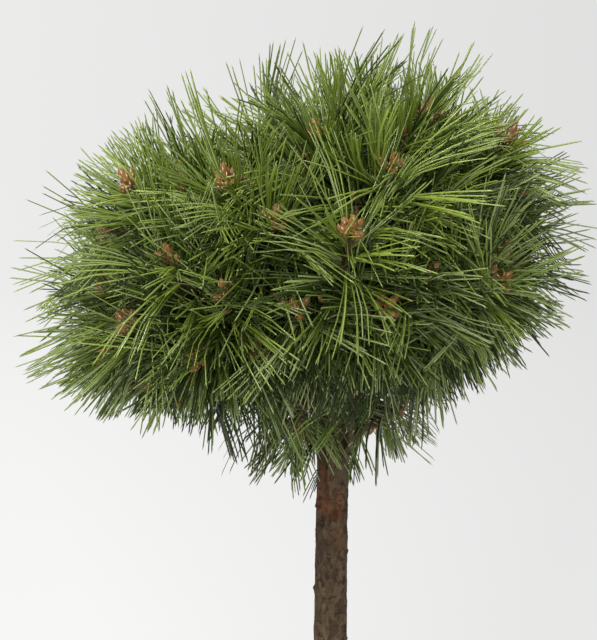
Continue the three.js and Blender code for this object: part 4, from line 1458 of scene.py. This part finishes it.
def build_needles(scene):
    plant, needles = Plant(scene), scene.pine_needles
    materials = needle_materials(needles)
    sides, stretches = 3, len(NEEDLE_RINGS) - 2
    for order, mass in enumerate(plant.masses):
        rng = np.random.default_rng(LAYOUT_SEED + SEED_STEP * (order + NEEDLE_SEEDS))
        rows = [needle_rows(plant, needles, shoot, rng) for shoot in mass["shoots"]]
        lines, headings, tints = (np.concatenate(part) for part in zip(*rows))
        total = len(lines)
        width = needles.radius * (1 + STRAY["width"] * rng.normal(size=total))[:, None]
        points, faces = rods(lines, width * np.array(NEEDLE_WIDTHS)[None], headings, sides, pointed=True)
        tipped = rng.random(total) < PALE_TIPS
        stretch_tints = np.tile(tints[:, None], (1, stretches * sides))
        stretch_tints[:, :sides] = SHEATH
        end_tints = np.repeat(np.where(tipped, TIP, tints), sides)
        parts = [stretch_tints.ravel(), np.full(total, SHEATH), end_tints]
        mesh = joined_mesh(f"needles_{mass['name']}", points, faces, parts, materials)
        new_piece(mesh, "needles", f"foliage_{mass['name']}")


def bud_shape():
    """An egg-shaped bud with its scales, one long and one across: points, faces, and which are scales."""
    bm = bmesh.new()
    outline = ((0.5, 0.0), (0.88, 0.13), (1.0, 0.34), (0.95, 0.58), (0.7, 0.8), (0.38, 0.94), (0.08, 1.0))
    ring, edges = first_ring(bm, 8, outline[0][0])
    for (before, low), (radius, high) in zip(outline, outline[1:]):
        ring, edges = next_ring(bm, edges)
        grow = Matrix.Diagonal((radius / before, radius / before, 1, 1))
        bmesh.ops.transform(bm, matrix=Matrix.Translation((0, 0, high - low)) @ grow, verts=ring)
    bmesh.ops.contextual_create(bm, geom=edges)
    bmesh.ops.recalc_face_normals(bm, faces=bm.faces)
    lowest, highest, scale_count = 0.08, 0.88, 18
    flat = Matrix.Diagonal((0.13, 0.36, 0.28, 1))
    for i, height in enumerate(np.linspace(lowest, highest, scale_count)):
        radius = np.interp(height, [h for _, h in outline], [r for r, _ in outline])
        lean = math.radians(14 - 40 * max(0, height - 0.5))
        turn = Matrix.Rotation(i * GOLDEN_ANGLE, 4, "Z")
        tilt = Matrix.Rotation(lean, 4, "Y")
        at = turn @ Matrix.Translation((radius * 0.98, 0, height)) @ tilt @ flat
        scale = bmesh.ops.create_cone(bm, cap_ends=True, segments=4, radius1=1, radius2=0, depth=1, matrix=at)
        for vert in scale["verts"]:
            for face in vert.link_faces:
                face.material_index = SCALE
    bmesh.ops.triangulate(bm, faces=bm.faces)
    points = np.array([vert.co[:] for vert in bm.verts])
    faces = faces_of(bm)
    scales = np.array([face.material_index == SCALE for face in bm.faces])
    bm.free()
    return points, faces, scales


def build_buds(scene):
    plant, buds = Plant(scene), scene.pine_buds
    shape, faces, scales = bud_shape()
    rng = np.random.default_rng(LAYOUT_SEED + BUD_SEED)
    hidden_size, sunk, turn_stray, ring_share, ring_resin = 0.5, 0.001, 0.15, 0.75, 1.3
    gathered = Gathered()

    def add_bud(at, heading, size, radius, pale):
        side, other = side_vectors(heading[None])
        axes = np.stack([side[0] * radius, other[0] * radius, heading * size])
        scale_tints = np.where(rng.random(len(faces)) < pale, RESIN, SCALE)
        gathered.add(shape @ axes + at, [faces], [np.where(scales, scale_tints, BODY)])

    for shoot in plant.shoots:
        heading = shoot["line"].heading(1.0)[0]
        tip = shoot["line"].spot(1.0)
        hidden = not (shoot["main"] and shoot["mass"]["bough"])
        grown = hidden_size if hidden else 1.0
        size = buds.length * grown * rng.uniform(*BUD_DRAWS["size"])
        pale = rng.uniform(*BUD_DRAWS["resin"])
        add_bud(tip - heading * sunk, heading, size, buds.radius * grown, pale)
        ring = rng.integers(0, 2) if hidden else rng.integers(2, buds.ring + 1)
        side, other = side_vectors(heading[None])
        phase = rng.random() * 2 * math.pi
        for i in range(ring):
            turn = phase + i * 2 * math.pi / ring + rng.normal(scale=turn_stray)
            outward = side[0] * math.cos(turn) + other[0] * math.sin(turn)
            leaning = unit(heading + outward * rng.uniform(*BUD_DRAWS["lean"]))
            share = rng.uniform(*BUD_DRAWS["ring_size"])
            at = tip + outward * buds.radius * ring_share * grown - heading * rng.uniform(*BUD_DRAWS["ring_drop"])
            radius = buds.radius * grown * rng.uniform(*BUD_DRAWS["ring_width"])
            add_bud(at, leaning, size * share, radius, pale * ring_resin)
    new_piece(gathered.mesh("buds", bud_materials(buds)), "bark")


# The stage

def sideways_fall(tree, source, fall):
    """Strength of the backdrop's light by how far to the right a direction points."""
    return ranged(tree, source, (-0.2, 0.2), (1 + fall, 1 - fall))


def floor_material(stage):
    """A floor that turns into the backdrop's light far from the plant, so that no horizon shows."""
    paint = Paint("studio_floor", stage.floor, roughness=0.7, specular=0.2)
    place = paint.place()
    direction = paint.add("VectorMath", {0: place}, operation="NORMALIZE").outputs["Vector"]
    away = paint.add("VectorMath", {0: place}, operation="LENGTH").outputs["Value"]
    aside = paint.add("SeparateXYZ", {"Vector": direction}).outputs["X"]
    fall = sideways_fall(paint.tree, aside, stage.fall)
    gain = ranged(paint.tree, away, (stage.far, stage.horizon), (stage.floor_gain, 1))
    glow = paint.add("Emission", {"Color": (*stage.backdrop, 1), "Strength": paint.times(fall, gain)})
    turned = paint.steps(away, stage.near, stage.far)
    shaders = {1: paint.shader.outputs["BSDF"], 2: glow.outputs["Emission"]}
    blend = paint.add("MixShader", {"Fac": turned, **shaders})
    fill_in(paint.tree, paint.tree.nodes["Material Output"], {"Surface": blend.outputs["Shader"]})
    return paint.material


def lay_floor(scene, stage):
    bm = bmesh.new()
    bmesh.ops.create_circle(bm, cap_ends=True, segments=96, radius=30)
    bmesh.ops.translate(bm, vec=(0, 0, -0.0005), verts=bm.verts)
    mesh = mesh_from_bmesh(bm, "floor", [floor_material(stage)], smooth=False)
    linked(scene, "floor", mesh)


def light_air(scene, stage):
    """The light from all round: the backdrop low down, the walls above it and a bright ceiling."""
    world = bpy.data.worlds.new("studio_air")
    world.use_nodes = True
    tree = world.node_tree
    direction = add_node(tree, "TexCoord", {}).outputs["Generated"]
    parts = add_node(tree, "SeparateXYZ", {"Vector": direction}).outputs
    rise = add_node(tree, "ValToRGB", {"Fac": parts["Z"]})
    bright = tuple(value * stage.overhead_strength for value in stage.overhead)
    stops = ((0.0, stage.backdrop), (0.1, stage.backdrop), (0.22, stage.walls), (0.6, stage.walls), (0.78, bright))
    while len(rise.color_ramp.elements) < len(stops):
        rise.color_ramp.elements.new(1)
    for element, (place, colour) in zip(rise.color_ramp.elements, stops):
        element.position = place
        element.color = (*colour, 1)
    fall = sideways_fall(tree, parts["X"], stage.fall)
    fill_in(tree, tree.nodes["Background"], {"Color": rise.outputs["Color"], "Strength": fall})
    scene.world = world


def hang_lamps(scene, middle):
    """Round lamps that face the middle of the picture."""
    for name, place, size, power, colour in LAMPS:
        light = bpy.data.lights.new(name, "AREA")
        light.shape = "DISK"
        light.size = size
        light.energy = power
        light.color = colour
        lamp = linked(scene, name, light)
        lamp.location = place
        lamp.rotation_euler = (middle - Vector(place)).to_track_quat("-Z", "Y").to_euler()


def place_camera(scene, stage, middle):
    data = bpy.data.cameras.new("photo_view")
    data.sensor_width = 36
    data.lens = data.sensor_width * stage.distance / stage.picture_height
    camera = linked(scene, "photo_view", data)
    back = Vector((0, -math.cos(stage.elevation), math.sin(stage.elevation)))
    camera.location = middle + back * stage.distance
    camera.rotation_euler = (-back).to_track_quat("-Z", "Y").to_euler()
    scene.camera = camera


def build_stage(scene):
    stage = scene.pine_stage
    middle = Vector((stage.view_aside, 0, stage.view_height))
    lay_floor(scene, stage)
    light_air(scene, stage)
    hang_lamps(scene, middle)
    place_camera(scene, stage, middle)
    scene.view_settings.view_transform = "Standard"


# Operators and the panel

class PINE_OT_stage(bpy.types.Operator):
    """Adds the studio floor, the lights and the camera"""

    bl_idname = "pine.stage"
    bl_label = "Set up the stage"

    def execute(self, context):
        build_stage(context.scene)
        return {"FINISHED"}


class PINE_OT_pot(bpy.types.Operator):
    """Turns the clay pot and cuts its drain holes"""

    bl_idname = "pine.pot"
    bl_label = "Make the pot"

    def execute(self, context):
        build_pot(context.scene)
        return {"FINISHED"}


class PINE_OT_compost(bpy.types.Operator):
    """Adds the compost with its crumbs and bark chips"""

    bl_idname = "pine.compost"
    bl_label = "Fill the pot"

    def execute(self, context):
        build_compost(context.scene)
        return {"FINISHED"}


class PINE_OT_trunk(bpy.types.Operator):
    """Extrudes the stem with its bark relief and knots"""

    bl_idname = "pine.trunk"
    bl_label = "Grow the stem"

    def execute(self, context):
        build_trunk(context.scene)
        return {"FINISHED"}


class PINE_OT_boughs(bpy.types.Operator):
    """Extrudes the boughs from the knuckle to the foliage"""

    bl_idname = "pine.boughs"
    bl_label = "Grow the boughs"

    def execute(self, context):
        build_boughs(context.scene)
        return {"FINISHED"}


class PINE_OT_twigs(bpy.types.Operator):
    """Adds the shoots and their side shoots"""

    bl_idname = "pine.twigs"
    bl_label = "Grow the twigs"

    def execute(self, context):
        build_twigs(context.scene)
        return {"FINISHED"}


class PINE_OT_needles(bpy.types.Operator):
    """Adds the pairs of needles, mass by mass"""

    bl_idname = "pine.needles"
    bl_label = "Grow the needles"

    def execute(self, context):
        build_needles(context.scene)
        return {"FINISHED"}


class PINE_OT_buds(bpy.types.Operator):
    """Adds the clusters of scaly buds at the tips"""

    bl_idname = "pine.buds"
    bl_label = "Grow the buds"

    def execute(self, context):
        build_buds(context.scene)
        return {"FINISHED"}


OPERATORS = (
    PINE_OT_stage,
    PINE_OT_pot,
    PINE_OT_compost,
    PINE_OT_trunk,
    PINE_OT_boughs,
    PINE_OT_twigs,
    PINE_OT_needles,
    PINE_OT_buds,
)


class PINE_PT_panel(bpy.types.Panel):
    """The plant's sizes and colours, with a button for each step."""

    bl_label = "Grafted pine"
    bl_space_type = "VIEW_3D"
    bl_region_type = "UI"
    bl_category = "Pine"

    def draw(self, context):
        for operator in OPERATORS:
            self.layout.operator(operator.bl_idname)
        for name, group in SETTINGS.items():
            box = self.layout.box()
            box.label(text=group.__name__)
            for key in group.__annotations__:
                box.prop(getattr(context.scene, name), key)


CLASSES = (*SETTINGS.values(), *OPERATORS, PINE_PT_panel)


def register():
    for entry in CLASSES:
        bpy.utils.register_class(entry)
    for name, group in SETTINGS.items():
        setattr(bpy.types.Scene, name, PointerProperty(type=group))


def unregister():
    for name in SETTINGS:
        delattr(bpy.types.Scene, name)
    for entry in reversed(CLASSES):
        bpy.utils.unregister_class(entry)


def main():
    register()
    bpy.ops.pine.stage()
    bpy.ops.pine.pot()
    bpy.ops.pine.compost()
    bpy.ops.pine.trunk()
    bpy.ops.pine.boughs()
    bpy.ops.pine.twigs()
    bpy.ops.pine.needles()
    bpy.ops.pine.buds()
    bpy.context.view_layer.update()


if __name__ == "__main__":
    main()
